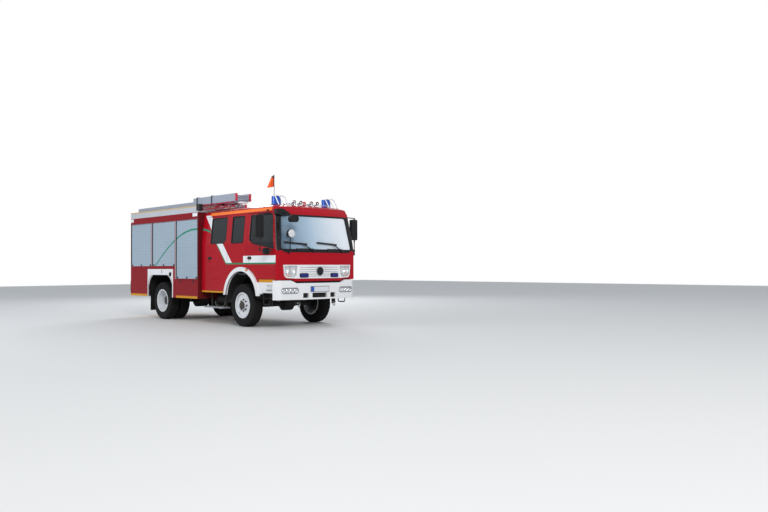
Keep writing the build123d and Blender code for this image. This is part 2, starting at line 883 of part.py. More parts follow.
def body_panels():
    """The body's panels, cut out of one shell where the real ones meet."""
    rest = body_shell()
    across = (-body_half_width - 30, body_half_width + 30)
    along = (body_front_y, body_rear_y)
    limits = {
        "front": block(across, (body_front_y, body_front_y + body_wall), (0, body_deck_z)),
        "rear": block(across, (body_rear_y - body_wall, body_rear_y), (0, body_deck_z)),
        "deck": block(across, along, (body_deck_z - body_wall, body_deck_z)),
        "right": block((across[0], -body_half_width + body_wall), along, (0, body_deck_z)),
        "left": block((body_half_width - body_wall, across[1]), along, (0, body_deck_z)),
    }
    panels = {}
    for name, limit in limits.items():
        panels[name] = rest & limit
        rest -= limit
    middle = block((-locker_inner_x, locker_inner_x), along, (0, body_deck_z))
    panels["floor"] = rest & middle
    panels["lockers"] = rest - middle
    return panels


def shutter_openings():
    """Limits in y and z of the three shutters on each side."""
    half = shutter_post / 2
    edges = [body_front_y, divider_front_y, divider_rear_y, body_rear_y]
    bottoms = [shutter_bottom_z, shutter_mid_bottom_z, shutter_mid_bottom_z]
    openings = []
    for low, high, bottom in zip(edges, edges[1:], bottoms):
        openings.append(((low + half, high - half), (bottom, shutter_top_z)))
    return openings


def slatted(z):
    """Section of a shutter curtain in (depth, z): a bottom bar, then slats with notched joints."""
    outer = -shutter_recess
    bar = 60
    points = [(outer - shutter_wall, z[0]), (outer, z[0]), (outer, z[0] + bar - 4), (outer - slat_depth, z[0] + bar)]
    for index in range(int((z[1] - z[0] - bar) / slat_pitch)):
        base = z[0] + bar + index * slat_pitch
        points += [(outer, base + 6), (outer, base + slat_pitch - 6), (outer - slat_depth, base + slat_pitch)]
    return points + [(outer - slat_depth, z[1]), (outer - shutter_wall, z[1])]


def roller_shutters():
    solids = []
    for y, z in shutter_openings():
        face = outline([(body_half_width + depth, height) for depth, height in slatted(z)])
        solids += pair(front_prism(face, y))
    section = slatted((shutter_bottom_z, shutter_top_z))
    face = outline([(body_rear_y + depth, height) for depth, height in section])
    solids.append(side_prism(face, (-rear_shutter_half, rear_shutter_half)))
    return solids


def rear_arches():
    """White panel around the rear wheels."""
    reach = rear_arch_half_length
    panel = outline([
        (wheelbase - reach, body_bottom_z), (wheelbase + reach, body_bottom_z),
        (wheelbase + reach, rear_arch_top_z), (wheelbase - reach, rear_arch_top_z),
    ])
    opening = outline([
        (wheelbase - reach + 55, body_bottom_z - 10), (wheelbase + reach - 55, body_bottom_z - 10),
        (wheelbase + reach - 55, 1195), (wheelbase - reach + 55, 1195),
    ])
    opening = fillet(opening.vertices().sort_by(Axis.Y)[-2:], rear_arch_round)
    return side_prism(panel - opening, (-body_half_width, -body_half_width + 22))


def locker_flap():
    """Right fold-down flap under the first shutter, hinged along its lower edge."""
    y = (body_front_y + 14, divider_front_y - 20)
    return block((-body_half_width, -body_half_width + flap_wall), y, (flap_bottom_z, flap_top_z))


def roof_gallery():
    ring = block((-body_half_width, body_half_width), (body_front_y, body_rear_y), (body_deck_z, gallery_top_z))
    wall = gallery_wall
    ring -= block(
        (-body_half_width + wall, body_half_width - wall), (body_front_y + wall, body_rear_y - wall),
        (body_deck_z + gallery_floor, gallery_top_z + 1),
    )
    cap = block((-body_half_width, -body_half_width + 90), (body_front_y - 60, body_front_y + 90), (2830, 3000))
    cap = fillet(cap.edges().filter_by(Axis.X), 18)
    for piece in pair(cap - block((-body_half_width + wall, 0), (body_front_y, body_rear_y), (0, 4000))):
        ring += piece
    return ring


def roof_locker():
    """Long box without a bottom, bolted down on the gallery's floor."""
    low = body_deck_z + gallery_floor
    half = roof_locker_width / 2
    y = (roof_locker_front_y, roof_locker_front_y + roof_locker_length)
    box = block((roof_locker_x - half, roof_locker_x + half), y, (low, low + roof_locker_height))
    half -= roof_locker_wall
    y = (y[0] + roof_locker_wall, y[1] - roof_locker_wall)
    top = low + roof_locker_height - roof_locker_wall
    return box - block((roof_locker_x - half, roof_locker_x + half), y, (low - 1, top))


def ladder(x, y, z):
    """One ladder lying flat: two box rails with round rungs between them."""
    rails = []
    for side in (-1, 1):
        inner = x + side * (ladder_width / 2 - ladder_rail_wall)
        outer = x + side * ladder_width / 2
        rails.append(block(sorted((inner, outer)), y, (z, z + ladder_rail_depth)))
    piece = rails[0] + rails[1]
    count = int((y[1] - y[0] - 200) / rung_pitch)
    for index in range(count + 1):
        rung_y = y[0] + 120 + index * rung_pitch
        half = ladder_width / 2 - ladder_rail_wall + 2
        height = z + ladder_rail_depth / 2
        piece += rod((x - half, rung_y, height), (x + half, rung_y, height), rung_radius)
    return piece


def roof_ladders():
    """A long and a short ladder stacked on the right, one ladder beside them."""
    upper_z = ladder_bottom_z + ladder_rail_depth
    rear = body_rear_y - ladder_rear_inset
    right = ladder(right_ladder_x, (right_ladder_front_y, rear), ladder_bottom_z)
    right += ladder(right_ladder_x, (right_ladder_front_y, upper_ladder_rear_y), upper_z)
    return [right, ladder(left_ladder_x, (left_ladder_front_y, rear), ladder_bottom_z)]


def ladder_rack():
    """Cross bearers on the gallery that carry the ladders."""
    bearers = []
    for y in (body_front_y + 120, wheelbase - 160, body_rear_y - 480):
        bearer = block((-1200, 700), (y, y + 60), (ladder_bottom_z - 50, ladder_bottom_z))
        for x in (-1170, -700, -200, 300, 670):
            post_z = (body_deck_z + gallery_floor, ladder_bottom_z - 40)
            bearer += block((x - 20, x + 20), (y, y + 60), post_z)
        bearers.append(bearer)
    front = truss_front_y
    for x in (-1130, -750):
        truss = block((x - 15, x + 15), (front, body_front_y), (ladder_bottom_z - 30, ladder_bottom_z))
        truss += block((x - 15, x + 15), (front + 120, body_front_y), (2848, 2872))
        for index in range(4):
            y = front + 130 + index * truss_bay
            middle_y = y + truss_bay / 2
            truss += rod((x, y, 2860), (x, middle_y, ladder_bottom_z - 15), 10)
            truss += rod((x, middle_y, ladder_bottom_z - 15), (x, y + truss_bay, 2860), 10)
        truss &= block((x - 30, x + 30), (front, body_front_y), (2800, ladder_bottom_z))
        bearers.append(truss)
    return bearers


def rear_climb_ladder():
    x = (body_half_width - 470, body_half_width - 190)
    y = body_rear_y + 60
    piece = None
    for rail_x in x:
        rail = rod((rail_x, y, 700), (rail_x, y, gallery_top_z + 60), 17)
        for z in (800, 1700, 2600):
            rail += rod((rail_x, body_rear_y, z), (rail_x, y, z), 12)
        piece = rail if piece is None else piece + rail
    for index in range(8):
        z = 780 + index * 290
        piece += rod((x[0], y, z), (x[1], y, z), 14)
    return piece


def rear_lamps():
    x = -body_half_width
    lamp = block((x + 20, x + 140), (body_rear_y, body_rear_y + 45), (720, 1010))
    return pair(lamp)


# Cab fittings

def dashboard():
    board = block((-1200, 1200), (-1500, -1000), (1480, 1760))
    board = fillet(board.edges().filter_by(Axis.X).sort_by(Axis.Z)[-2:], 60)
    board = board & cab_volume(cab_wall, 1400, 1900)
    side_limit = cab_half_width - cab_wall - door_seal
    board &= block((-side_limit, side_limit), (-1500, -900), (0, sill_z - 12))
    foot = Vector(driver_x, -1080, 1720)
    centre = Vector(driver_x, -890, 1865)
    column = rod(foot, centre, 32)
    wheel = Plane(origin=centre, x_dir=(1, 0, 0), z_dir=foot - centre) * Torus(steering_wheel_radius, 15)
    reach = Vector(steering_wheel_radius - 5, 0, 0)
    return board + column + wheel + rod(centre - reach, centre + reach, 11)


def seat(x, y, width):
    half = width / 2
    cushion = block((x - half, x + half), (y - 480, y), (1560, 1690))
    cushion = fillet(cushion.edges().filter_by(Axis.X), 40)
    base = block((x - half + 60, x + half - 60), (y - 420, y - 60), (floor_top_z, 1570))
    back = outline([(y - 130, 1640), (y - 20, 1640), (y + 70, 2260), (y - 20, 2260)])
    head = outline([(y - 10, 2250), (y + 55, 2250), (y + 80, 2440), (y + 10, 2440)])
    rest = side_prism(back, (x - half, x + half)) + side_prism(head, (x - 140, x + 140))
    return cushion + base + rest


def seats():
    return [
        seat(driver_x, 40, seat_width), seat(passenger_x, 40, seat_width),
        seat(0, 1660, bench_width),
    ]


def mirror_set():
    """Right mirror arms and housings, carried by the front door."""
    x = -cab_half_width
    arm_x = x - mirror_reach + mirror_width / 2
    arm_top = mirror_top_z + 35
    arm = rod((x + 90, -1060, 2622), (arm_x, mirror_y + 5, arm_top - 5), 11)
    arm += rod((x + 20, -1235, 1775), (arm_x, mirror_y + 5, 1760), 11)
    arm += rod((arm_x, mirror_y + 5, 1755), (arm_x, mirror_y + 5, arm_top), 12)
    arm -= cab_volume(0, cab_nose_z, eaves_z)
    outer_x = x - mirror_reach
    housing = block(
        (outer_x, outer_x + mirror_width), (mirror_y, mirror_y + mirror_depth),
        (mirror_top_z - mirror_height, mirror_top_z),
    )
    housing = fillet(housing.edges().filter_by(Axis.Y), 30)
    small = block((x - 190, x - 50), (-1190, -1115), (1680, 1830))
    small = fillet(small.edges().filter_by(Axis.Y), 25)
    return arm + housing + small


def kerb_mirror():
    """Wing at the roof's right corner with the kerb mirror on its arm, and the search lamp on its post."""
    cab_solid = cab_volume(0, cab_nose_z, eaves_z) + roof_volume(0)
    top_y = cab_front_y + screen_lean
    wing_face = outline([(-1095, 2590), (-1085, 2705), (-930, 2722), (-700, 2612), (-850, 2556)])
    wing = front_prism(wing_face, (top_y - 15, top_y + 90)) - cab_solid
    housing_y = -front_reach
    arm = rod((-890, top_y - 10, 2625), (-885, housing_y + 60, 2520), 11)
    housing = front_prism(Pos(-885, 2470) * SlotOverall(240, 150), (housing_y, housing_y + 90))
    x = search_lamp_x
    z = search_lamp_z
    lamp = rod((x, -1380, 1700), (x, -1500, 1740), 13) + rod((x, -1500, 1730), (x, -1500, z), 11)
    lamp += rod((x, -1560, z), (x, -1470, z), search_lamp_radius)
    return [wing + (arm - cab_solid) + housing, lamp - cab_solid]


def blue_lamps():
    lamps = []
    for side in (-1, 1):
        x = side * beacon_x
        y = beacon_y
        base = rod((x, y, roof_top_z), (x, y, roof_top_z + 30), beacon_radius + 20)
        lamps.append(base + rod((x, y, roof_top_z + 30), (x, y, roof_top_z + beacon_height), beacon_radius))
        low = flasher_bottom_z
        flash = extrude(nose_outline(low, grille_wall + 28, cab_corner_radius), amount=flasher_height)
        flash -= extrude(nose_outline(low, grille_wall, cab_corner_radius), amount=flasher_height)
        x = side * flasher_x
        flash &= block((x - flasher_width / 2, x + flasher_width / 2), (-2000, 0), (0, 2000))
        lamps.append(flash)
    return lamps


def horns_and_guards():
    """Tube guards that slope down ahead of the beacons, and four air horns between them."""
    pieces = []
    top = roof_top_z + beacon_height + 10
    for side in (-1, 1):
        x = side * beacon_x
        guard = rod((x - 130, -930, top), (x + 130, -930, top), 14)
        for tube_x in (x - 130, x, x + 130):
            guard += rod((tube_x, -930, top), (tube_x, -1090, roof_top_z), 14)
        guard -= block((x - 200, x + 200), (-1200, -900), (roof_top_z - 60, roof_top_z))
        pieces.append(guard)
    # columns: place across the roof, length
    for x, length in ((-380, 430), (-190, 360), (120, 430), (300, 360)):
        plane = Plane(origin=(x, -1020, roof_top_z + 70), x_dir=(1, 0, 0), z_dir=(0, 1, 0))
        horn = plane * Pos(0, 0, length / 2) * Cone(62, 16, length)
        foot = block((x - 20, x + 20), (-760, -720), (roof_top_z, roof_top_z + 60))
        pieces.append(horn + foot)
    return pieces


def flag_mast():
    """Thin mast on a round foot, standing on the cab roof."""
    x = flag_mast_x
    y = flag_mast_y
    foot = rod((x, y, roof_top_z), (x, y, roof_top_z + 20), 5 * flag_mast_radius)
    return foot + rod((x, y, roof_top_z + 20), (x, y, flag_mast_top_z), flag_mast_radius)


def crew_steps():
    """Step bar under the crew door."""
    bar = block((-cab_half_width - 20, -cab_half_width + 180), (790, 1700), (400, 432))
    for y in (900, 1560):
        z = (400, crew_door_bottom_z - step_floor)
        bar += block((-cab_half_width + 140, -cab_half_width + 176), (y, y + 36), z)
    return bar


save("chassis_rails", *rails())
save("cross_members", *cross_members())
save("drivetrain", drivetrain())
save("front_axle", front_axle())
save("rear_axle", rear_axle())
save("chassis_tanks", *tanks())
for side_name, piece in zip(("right", "left"), pair(knuckle())):
    save(f"knuckle_{side_name}", piece)
for side_name, piece in zip(("right", "left"), pair(tyre(0, -front_tyre_x))):
    save(f"front_tyre_{side_name}", piece)
for side_name, piece in zip(("right", "left"), pair(front_rim())):
    save(f"front_rim_{side_name}", piece)
outer_tyre = Pos(0, wheelbase, 0) * tyre(0, -rear_tyre_x)
inner_tyre = Pos(twin_spacing, 0, 0) * outer_tyre
for side_name, outer_piece, inner_piece in zip(("right", "left"), pair(outer_tyre), pair(inner_tyre)):
    save(f"rear_tyres_{side_name}", outer_piece, inner_piece)
for side_name, piece in zip(("right", "left"), pair(rear_rims())):
    save(f"rear_rims_{side_name}", piece)

cab = cab_pieces()
save("cab_front", cab["front"])
save("cab_sides", *pair(cab["sides"]))
save("cab_rear_wall", cab["rear"])
save("cab_roof", cab_roof())
save("cab_floor", cab_floor())
save("windscreen", cab["windscreen"])
save("middle_windows", *pair(cab["middle_glass"]))
for door_name in ("front_door", "crew_door"):
    for side_name, piece in zip(("right", "left"), pair(cab[door_name])):
        save(f"{door_name}_{side_name}", piece)
    for side_name, piece in zip(("right", "left"), pair(cab[door_name + "_glass"])):
        save(f"{door_name}_glass_{side_name}", piece)
for side_name, piece in zip(("right", "left"), pair(mirror_set())):
    save(f"mirrors_{side_name}", piece)
save("kerb_mirror", *kerb_mirror())

save("grille_panel", grille_panel())
save("bumper", bumper())
save("front_lamps", *front_lamps())
save("front_arches", *pair(front_arches()))
save("crew_steps", *pair(crew_steps()))
save("dashboard", dashboard())
save("seats", *seats())
save("blue_lamps", *blue_lamps())
save("horns_and_guards", *horns_and_guards())
save("flag_mast", flag_mast())

body = body_panels()
save("body_front_wall", body["front"])
save("body_rear_wall", body["rear"])
save("body_sides", body["right"], body["left"])
save("body_deck", body["deck"])
save("body_floor", body["floor"], body["lockers"])
save("roof_gallery", roof_gallery())
save("roof_locker", roof_locker())
save("roller_shutters", *roller_shutters())
save("rear_arches", *pair(rear_arches()))
for side_name, piece in zip(("right", "left"), pair(locker_flap())):
    save(f"locker_flap_{side_name}", piece)
save("rear_lamps", *rear_lamps())
save("climb_ladder", rear_climb_ladder())
save("roof_ladders", *roof_ladders())
save("ladder_rack", *ladder_rack())
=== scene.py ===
from math import radians

import bmesh
import bpy
import numpy as np
from mathutils import Matrix, Vector


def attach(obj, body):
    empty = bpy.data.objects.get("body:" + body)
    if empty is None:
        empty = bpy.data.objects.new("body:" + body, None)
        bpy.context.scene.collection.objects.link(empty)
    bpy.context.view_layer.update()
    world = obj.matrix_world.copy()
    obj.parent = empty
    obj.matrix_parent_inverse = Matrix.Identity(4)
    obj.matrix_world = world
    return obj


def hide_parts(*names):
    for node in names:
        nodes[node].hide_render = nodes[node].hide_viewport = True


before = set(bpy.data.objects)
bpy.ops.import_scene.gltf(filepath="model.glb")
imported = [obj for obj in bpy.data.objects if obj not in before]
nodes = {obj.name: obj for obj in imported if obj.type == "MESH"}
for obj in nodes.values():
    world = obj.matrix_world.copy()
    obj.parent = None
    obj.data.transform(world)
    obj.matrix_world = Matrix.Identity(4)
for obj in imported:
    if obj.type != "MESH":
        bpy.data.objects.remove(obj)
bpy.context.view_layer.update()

# Fire engine with a crew cab. Metres, Z up, ground at z = 0, the front faces -Y, the vehicle's right
# side is at -X. Stations along the vehicle are given from the front axle, at Y = -2.010.
front_axle = -2.010
rear_axle = 1.850


# Floor, light and camera
# A plain pale floor under soft studio light. The camera stands where the photographer stood: ahead of
# the right front corner, at eye height, with a 35 mm lens.

def new_node(tree, kind, feeds=None, **settings):
    """A shader node; feeds gives values or other nodes' outputs for its inputs."""
    made = tree.nodes.new("ShaderNode" + kind)
    for key, value in settings.items():
        setattr(made, key, value)
    for key, value in (feeds or {}).items():
        if isinstance(value, bpy.types.NodeSocket):
            tree.links.new(value, made.inputs[key])
        else:
            made.inputs[key].default_value = value
    return made


def maths(tree, operation, *values, clamp=False):
    """One step of arithmetic in a shader."""
    feeds = dict(enumerate(values))
    return new_node(tree, "Math", feeds, operation=operation, use_clamp=clamp).outputs[0]


def mixed(tree, factor, first, second):
    """first where factor is 0, second where it is 1."""
    return new_node(tree, "Mix", {0: factor, 6: first, 7: second}, data_type="RGBA").outputs[2]


def new_group(name, inputs, outputs):
    """An empty shader group; inputs and outputs map a name to a value of its kind."""
    tree = bpy.data.node_groups.new(name, "ShaderNodeTree")
    for side, sockets in (("INPUT", inputs), ("OUTPUT", outputs)):
        for label, value in sockets.items():
            kind = {1: "Float", 3: "Vector", 4: "Color"}[np.size(value)]
            socket = tree.interface.new_socket(name=label, in_out=side, socket_type="NodeSocket" + kind)
            if side == "INPUT":
                socket.default_value = value
    return tree, tree.nodes.new("NodeGroupInput").outputs, tree.nodes.new("NodeGroupOutput").inputs


def object_place(tree):
    """X, Y and Z of the shaded point on its object."""
    texture = new_node(tree, "TexCoord")
    return new_node(tree, "SeparateXYZ", {0: texture.outputs["Object"]}).outputs


# road film: dust that thins out upwards, slow drift of tone, duller where dust lies
film_group, given, result = new_group(
    "road_film",
    {"Colour": (1, 1, 1, 1), "Roughness": 0.5, "Amount": 0.3},
    {"Colour": (1, 1, 1, 1), "Roughness": 0.5},
)
place = new_node(film_group, "TexCoord").outputs["Object"]
height = new_node(film_group, "SeparateXYZ", {0: place}).outputs[2]
patches = new_node(film_group, "TexNoise", {"Vector": place, "Scale": 1.7, "Detail": 5.0,
                                            "Roughness": 0.62}).outputs[0]
fade = new_node(film_group, "MapRange", {0: height, 1: 0.25, 2: 1.5, 3: 1.0, 4: 0.06},
                interpolation_type="SMOOTHSTEP").outputs[0]
film = maths(film_group, "MULTIPLY", fade, patches)
film = maths(film_group, "MULTIPLY", film, given["Amount"], clamp=True)
drift = new_node(film_group, "TexNoise", {"Vector": place, "Scale": 0.6, "Detail": 2.0}).outputs[0]
value = maths(film_group, "MULTIPLY_ADD", drift, 0.14, 0.93)
toned = new_node(film_group, "HueSaturation", {"Value": value, "Color": given["Colour"]}).outputs[0]
film_group.links.new(mixed(film_group, film, toned, (0.23, 0.20, 0.17, 1)), result["Colour"])
duller = maths(film_group, "MULTIPLY_ADD", film, 0.5, given["Roughness"])
film_group.links.new(maths(film_group, "MULTIPLY_ADD", patches, 0.05, duller), result["Roughness"])

masks = {}


def edge(tree, distance, softness=0.002):
    """1 where distance is above 0, 0 below it, with a short ramp between."""
    return maths(tree, "MULTIPLY_ADD", distance, 1 / softness, 0.5, clamp=True)


def between(tree, value, low, high):
    """1 from low to high."""
    above = edge(tree, maths(tree, "SUBTRACT", value, low))
    return maths(tree, "MULTIPLY", above, edge(tree, maths(tree, "SUBTRACT", high, value)))


# a box in (distance from the middle plane, Y, Z)
tree, given, result = new_group(
    "box_mask",
    {"Low X": -1.0, "High X": 9.0, "Low Y": -9.0, "High Y": 9.0, "Low Z": -1.0, "High Z": 9.0},
    {"Mask": 0.0},
)
x, y, z = object_place(tree)
inside = between(tree, maths(tree, "ABSOLUTE", x), given["Low X"], given["High X"])
inside = maths(tree, "MULTIPLY", inside, between(tree, y, given["Low Y"], given["High Y"]))
inside = maths(tree, "MULTIPLY", inside, between(tree, z, given["Low Z"], given["High Z"]))
tree.links.new(inside, result["Mask"])
masks["box"] = tree

# a straight band in (Y, Z) that rises backwards at an angle, cut off level at both ends
tree, given, result = new_group(
    "slanting_band",
    {"Y": 0.0, "Z": 0.0, "Angle": 0.0, "Half width": 0.1, "Low Z": -1.0, "High Z": 9.0},
    {"Mask": 0.0},
)
x, y, z = object_place(tree)
aside = maths(tree, "MULTIPLY", maths(tree, "SUBTRACT", y, given["Y"]), maths(tree, "SINE", given["Angle"]))
rise = maths(tree, "MULTIPLY", maths(tree, "SUBTRACT", z, given["Z"]), maths(tree, "COSINE", given["Angle"]))
distance = maths(tree, "ABSOLUTE", maths(tree, "SUBTRACT", aside, rise))
inside = edge(tree, maths(tree, "SUBTRACT", given["Half width"], distance))
inside = maths(tree, "MULTIPLY", inside, between(tree, z, given["Low Z"], given["High Z"]))
tree.links.new(inside, result["Mask"])
masks["slant"] = tree

# a curved line in (Y, Z): z = A + B y + C y^2 + D y^3
tree, given, result = new_group(
    "curved_line",
    {"A": 0.0, "B": 0.0, "C": 0.0, "D": 0.0, "Half width": 0.02, "Low Y": -9.0, "High Y": 9.0},
    {"Mask": 0.0},
)
x, y, z = object_place(tree)
cubic = maths(tree, "MULTIPLY_ADD", y, given["D"], given["C"])
square = maths(tree, "MULTIPLY_ADD", y, cubic, given["B"])
curve = maths(tree, "MULTIPLY_ADD", y, square, given["A"])
distance = maths(tree, "ABSOLUTE", maths(tree, "SUBTRACT", z, curve))
inside = edge(tree, maths(tree, "SUBTRACT", given["Half width"], distance))
inside = maths(tree, "MULTIPLY", inside, between(tree, y, given["Low Y"], given["High Y"]))
tree.links.new(inside, result["Mask"])
masks["curve"] = tree

# faces that look towards a middle point: the inner side of a shell around it
tree, given, result = new_group("inner_side", {"Middle": (0, 0, 0)}, {"Mask": 0.0})
texture = new_node(tree, "TexCoord")
away = new_node(tree, "VectorMath", {0: texture.outputs["Object"], 1: given["Middle"]}, operation="SUBTRACT")
facing = new_node(tree, "VectorMath", {0: away.outputs[0], 1: texture.outputs["Normal"]},
                  operation="DOT_PRODUCT")
tree.links.new(edge(tree, maths(tree, "MULTIPLY", facing.outputs["Value"], -1.0), 0.05), result["Mask"])
masks["inner"] = tree


def surface(name, colour, roughness, metallic=0.0, coat=0.0, film=0.3, grain=None, layers=(), **constants):
    """A material: its colour, painted layers (mask, its sizes, colour), road film and a fine grain.

    grain is (scale of the noise, height in metres). Other names set the shader's own sockets.
    """
    material = bpy.data.materials.new(name)
    material.use_nodes = True
    tree = material.node_tree
    shader = tree.nodes["Principled BSDF"]
    colour_now = (*colour, 1)
    for mask, sizes, painted in layers:
        area = tree.nodes.new("ShaderNodeGroup")
        area.node_tree = masks[mask]
        for key, value in sizes.items():
            area.inputs[key].default_value = value
        colour_now = mixed(tree, area.outputs[0], colour_now, (*painted, 1))
    cover = tree.nodes.new("ShaderNodeGroup")
    cover.node_tree = film_group
    if isinstance(colour_now, bpy.types.NodeSocket):
        tree.links.new(colour_now, cover.inputs["Colour"])
    else:
        cover.inputs["Colour"].default_value = colour_now
    cover.inputs["Roughness"].default_value = roughness
    cover.inputs["Amount"].default_value = film
    tree.links.new(cover.outputs["Colour"], shader.inputs["Base Color"])
    tree.links.new(cover.outputs["Roughness"], shader.inputs["Roughness"])
    shader.inputs["Metallic"].default_value = metallic
    shader.inputs["Coat Weight"].default_value = coat
    shader.inputs["Coat Roughness"].default_value = 0.06
    for key, value in constants.items():
        shader.inputs[key.replace("_", " ")].default_value = value
    if grain:
        place = new_node(tree, "TexCoord").outputs["Object"]
        noise = new_node(tree, "TexNoise", {"Vector": place, "Scale": grain[0], "Detail": 3.0})
        bump = new_node(tree, "Bump", {"Strength": 1.0, "Distance": grain[1], "Height": noise.outputs[0]})
        tree.links.new(bump.outputs[0], shader.inputs["Normal"])
    return material


def plain(name, colour, roughness, metallic=0.0, **constants):
    """A material of constant sockets, for glass, lenses and bright metal."""
    material = bpy.data.materials.new(name)
    material.use_nodes = True
    shader = material.node_tree.nodes["Principled BSDF"]
    shader.inputs["Base Color"].default_value = (*colour, 1)
    shader.inputs["Roughness"].default_value = roughness
    shader.inputs["Metallic"].default_value = metallic
    for key, value in constants.items():
        shader.inputs[key.replace("_", " ")].default_value = value
    return material


def dress(material, *names):
    """CAD nodes take this material."""
    for name in names:
        for slot in nodes[name].material_slots:
            slot.material = material


def grid_patch(points, round_rows=False, round_columns=False):
    """Quads over a grid of points (rows, columns, 3); a round direction closes on itself."""
    rows, columns = points.shape[:2]
    index = np.arange(rows * columns).reshape(rows, columns)
    if round_rows:
        index = np.vstack([index, index[:1]])
    if round_columns:
        index = np.hstack([index, index[:, :1]])
    quads = np.stack([index[:-1, :-1], index[:-1, 1:], index[1:, 1:], index[1:, :-1]], -1)
    return points.reshape(-1, 3), quads.reshape(-1, 4)


def mesh_object(name, patches, material, smooth_angle=35):
    """One mesh from patches (points, quads): doubles merged, normals outwards, sharp edges kept."""
    starts = np.cumsum([0] + [len(patch[0]) for patch in patches])
    points = np.concatenate([patch[0] for patch in patches])
    quads = np.concatenate([patch[1] + start for patch, start in zip(patches, starts)])
    mesh = bpy.data.meshes.new(name)
    mesh.from_pydata(points.tolist(), [], quads.tolist())
    work = bmesh.new()
    work.from_mesh(mesh)
    bmesh.ops.remove_doubles(work, verts=work.verts, dist=1e-5)
    bmesh.ops.recalc_face_normals(work, faces=work.faces)
    work.to_mesh(mesh)
    work.free()
    mesh.materials.append(material)
    mesh.shade_smooth()
    mesh.set_sharp_from_angle(angle=radians(smooth_angle))
    made = bpy.data.objects.new(name, mesh)
    bpy.context.scene.collection.objects.link(made)
    return made


floor_reach = np.array([-45.0, 45.0])
floor_points = np.stack(np.meshgrid(floor_reach, floor_reach, [0.0], indexing="ij"), -1)[:, :, 0]
floor_material = plain("pale_floor", (0.72, 0.72, 0.71), 0.75)
floor = mesh_object("floor", [grid_patch(floor_points)], floor_material)

world = bpy.data.worlds.new("studio")
bpy.context.scene.world = world
world.use_nodes = True
tree = world.node_tree
tree.nodes.clear()
light_path = new_node(tree, "LightPath")
seen = maths(tree, "MAXIMUM", light_path.outputs["Is Camera Ray"], light_path.outputs["Is Transmission Ray"])
soft_light = new_node(tree, "Background", {"Color": (0.86, 0.92, 1.0, 1), "Strength": 0.56})
# reflections see the white backdrop, softer near the horizon
heading = new_node(tree, "SeparateXYZ", {0: new_node(tree, "TexCoord").outputs["Generated"]})
sky_level = new_node(tree, "MapRange", {0: heading.outputs[2], 1: 0.02, 2: 0.30, 3: 0.42, 4: 0.95},
                     interpolation_type="SMOOTHSTEP").outputs[0]
glossy_light = new_node(tree, "Background", {"Color": (0.93, 0.96, 1.0, 1), "Strength": sky_level})
white = new_node(tree, "Background", {"Color": (1, 1, 1, 1), "Strength": 1.0})
glossy = light_path.outputs["Is Glossy Ray"]
unseen = new_node(tree, "MixShader", {0: glossy, 1: soft_light.outputs[0], 2: glossy_light.outputs[0]})
shown = new_node(tree, "MixShader", {0: seen, 1: unseen.outputs[0], 2: white.outputs[0]})
new_node(tree, "OutputWorld", {"Surface": shown.outputs[0]})

# columns: name, place, point it faces, width, power, colour
for name, place, target, width, power, colour in (
    ("key", (-14.0, -28.0, 16.0), (0.0, -2.5, 1.2), 9.5, 5100, (1.0, 0.98, 0.95)),
    ("side", (-14.0, 2.0, 6.0), (0.0, 0.5, 1.2), 6.0, 520, (0.93, 0.96, 1.0)),
    ("back", (9.0, 11.0, 8.0), (0.0, 1.0, 1.5), 6.0, 700, (0.96, 0.98, 1.0)),
):
    lamp = bpy.data.lights.new(name, "AREA")
    lamp.size = width
    lamp.energy = power
    lamp.color = colour
    holder = bpy.data.objects.new(name + "_light", lamp)
    bpy.context.scene.collection.objects.link(holder)
    holder.location = place
    holder.rotation_euler = (Vector(target) - Vector(place)).to_track_quat("-Z", "Y").to_euler()

camera = bpy.data.objects.new("camera", bpy.data.cameras.new("camera"))
bpy.context.scene.collection.objects.link(camera)
bpy.context.scene.camera = camera
camera.data.lens = 35.12
camera.data.sensor_width = 36.0
yaw, pitch, roll = radians(43.717), radians(0.8665), radians(-0.182)
turn = Matrix.Rotation(-yaw, 4, "Z") @ Matrix.Rotation(radians(90) + pitch, 4, "X")
turn = turn @ Matrix.Rotation(roll, 4, "Z")
camera.matrix_world = Matrix.Translation((-10.909, -17.049, 1.387)) @ turn
bpy.context.scene.view_settings.view_transform = "Standard"


# Chassis frame, engine and tanks
# Two pressed steel channel rails with bolted cross members, hangers and mounts, painted satin black.
# The engine and the gearbox hang between them; the fuel tank is aluminium, the air tanks are black.

chassis_black = surface("chassis_black", (0.009, 0.009, 0.010), 0.6, film=0.08, grain=(140, 0.0004),
                        Specular_IOR_Level=0.25)
engine_grey = surface("engine_grey", (0.11, 0.115, 0.12), 0.55, metallic=0.4, film=0.4, grain=(60, 0.0012))
dress(chassis_black, "chassis_rails", "cross_members", "chassis_tanks")
dress(engine_grey, "drivetrain")


def square_to(direction):
    """A direction of length 1 and two more square to it and to each other."""
    direction = np.asarray(direction, float) / np.linalg.norm(direction)
    helper = np.eye(3)[np.argmin(np.abs(direction))]
    first = np.cross(direction, helper)
    first /= np.linalg.norm(first)
    return direction, first, np.cross(direction, first)


def turned(profile, centre, axis, sides=32):
    """Surface of revolution: centre + a(s) axis + r(s) (cos t first + sin t second).

    profile rows are (a, r) along the axis; a row with r = 0 closes an end.
    """
    profile = np.asarray(profile, float)
    along, first, second = square_to(axis)
    angle = 2 * np.pi * np.arange(sides) / sides
    ring = np.cos(angle)[:, None] * first + np.sin(angle)[:, None] * second
    points = np.asarray(centre, float) + profile[:, None, :1] * along + profile[:, None, 1:] * ring
    return grid_patch(points, round_columns=True)


def copies(patch, shifts):
    """The patch once for every shift."""
    points, quads = patch
    shifts = np.asarray(shifts, float).reshape(-1, 1, 3)
    moved = (points + shifts).reshape(-1, 3)
    starts = len(points) * np.arange(len(shifts))[:, None, None]
    return moved, (quads + starts).reshape(-1, 4)


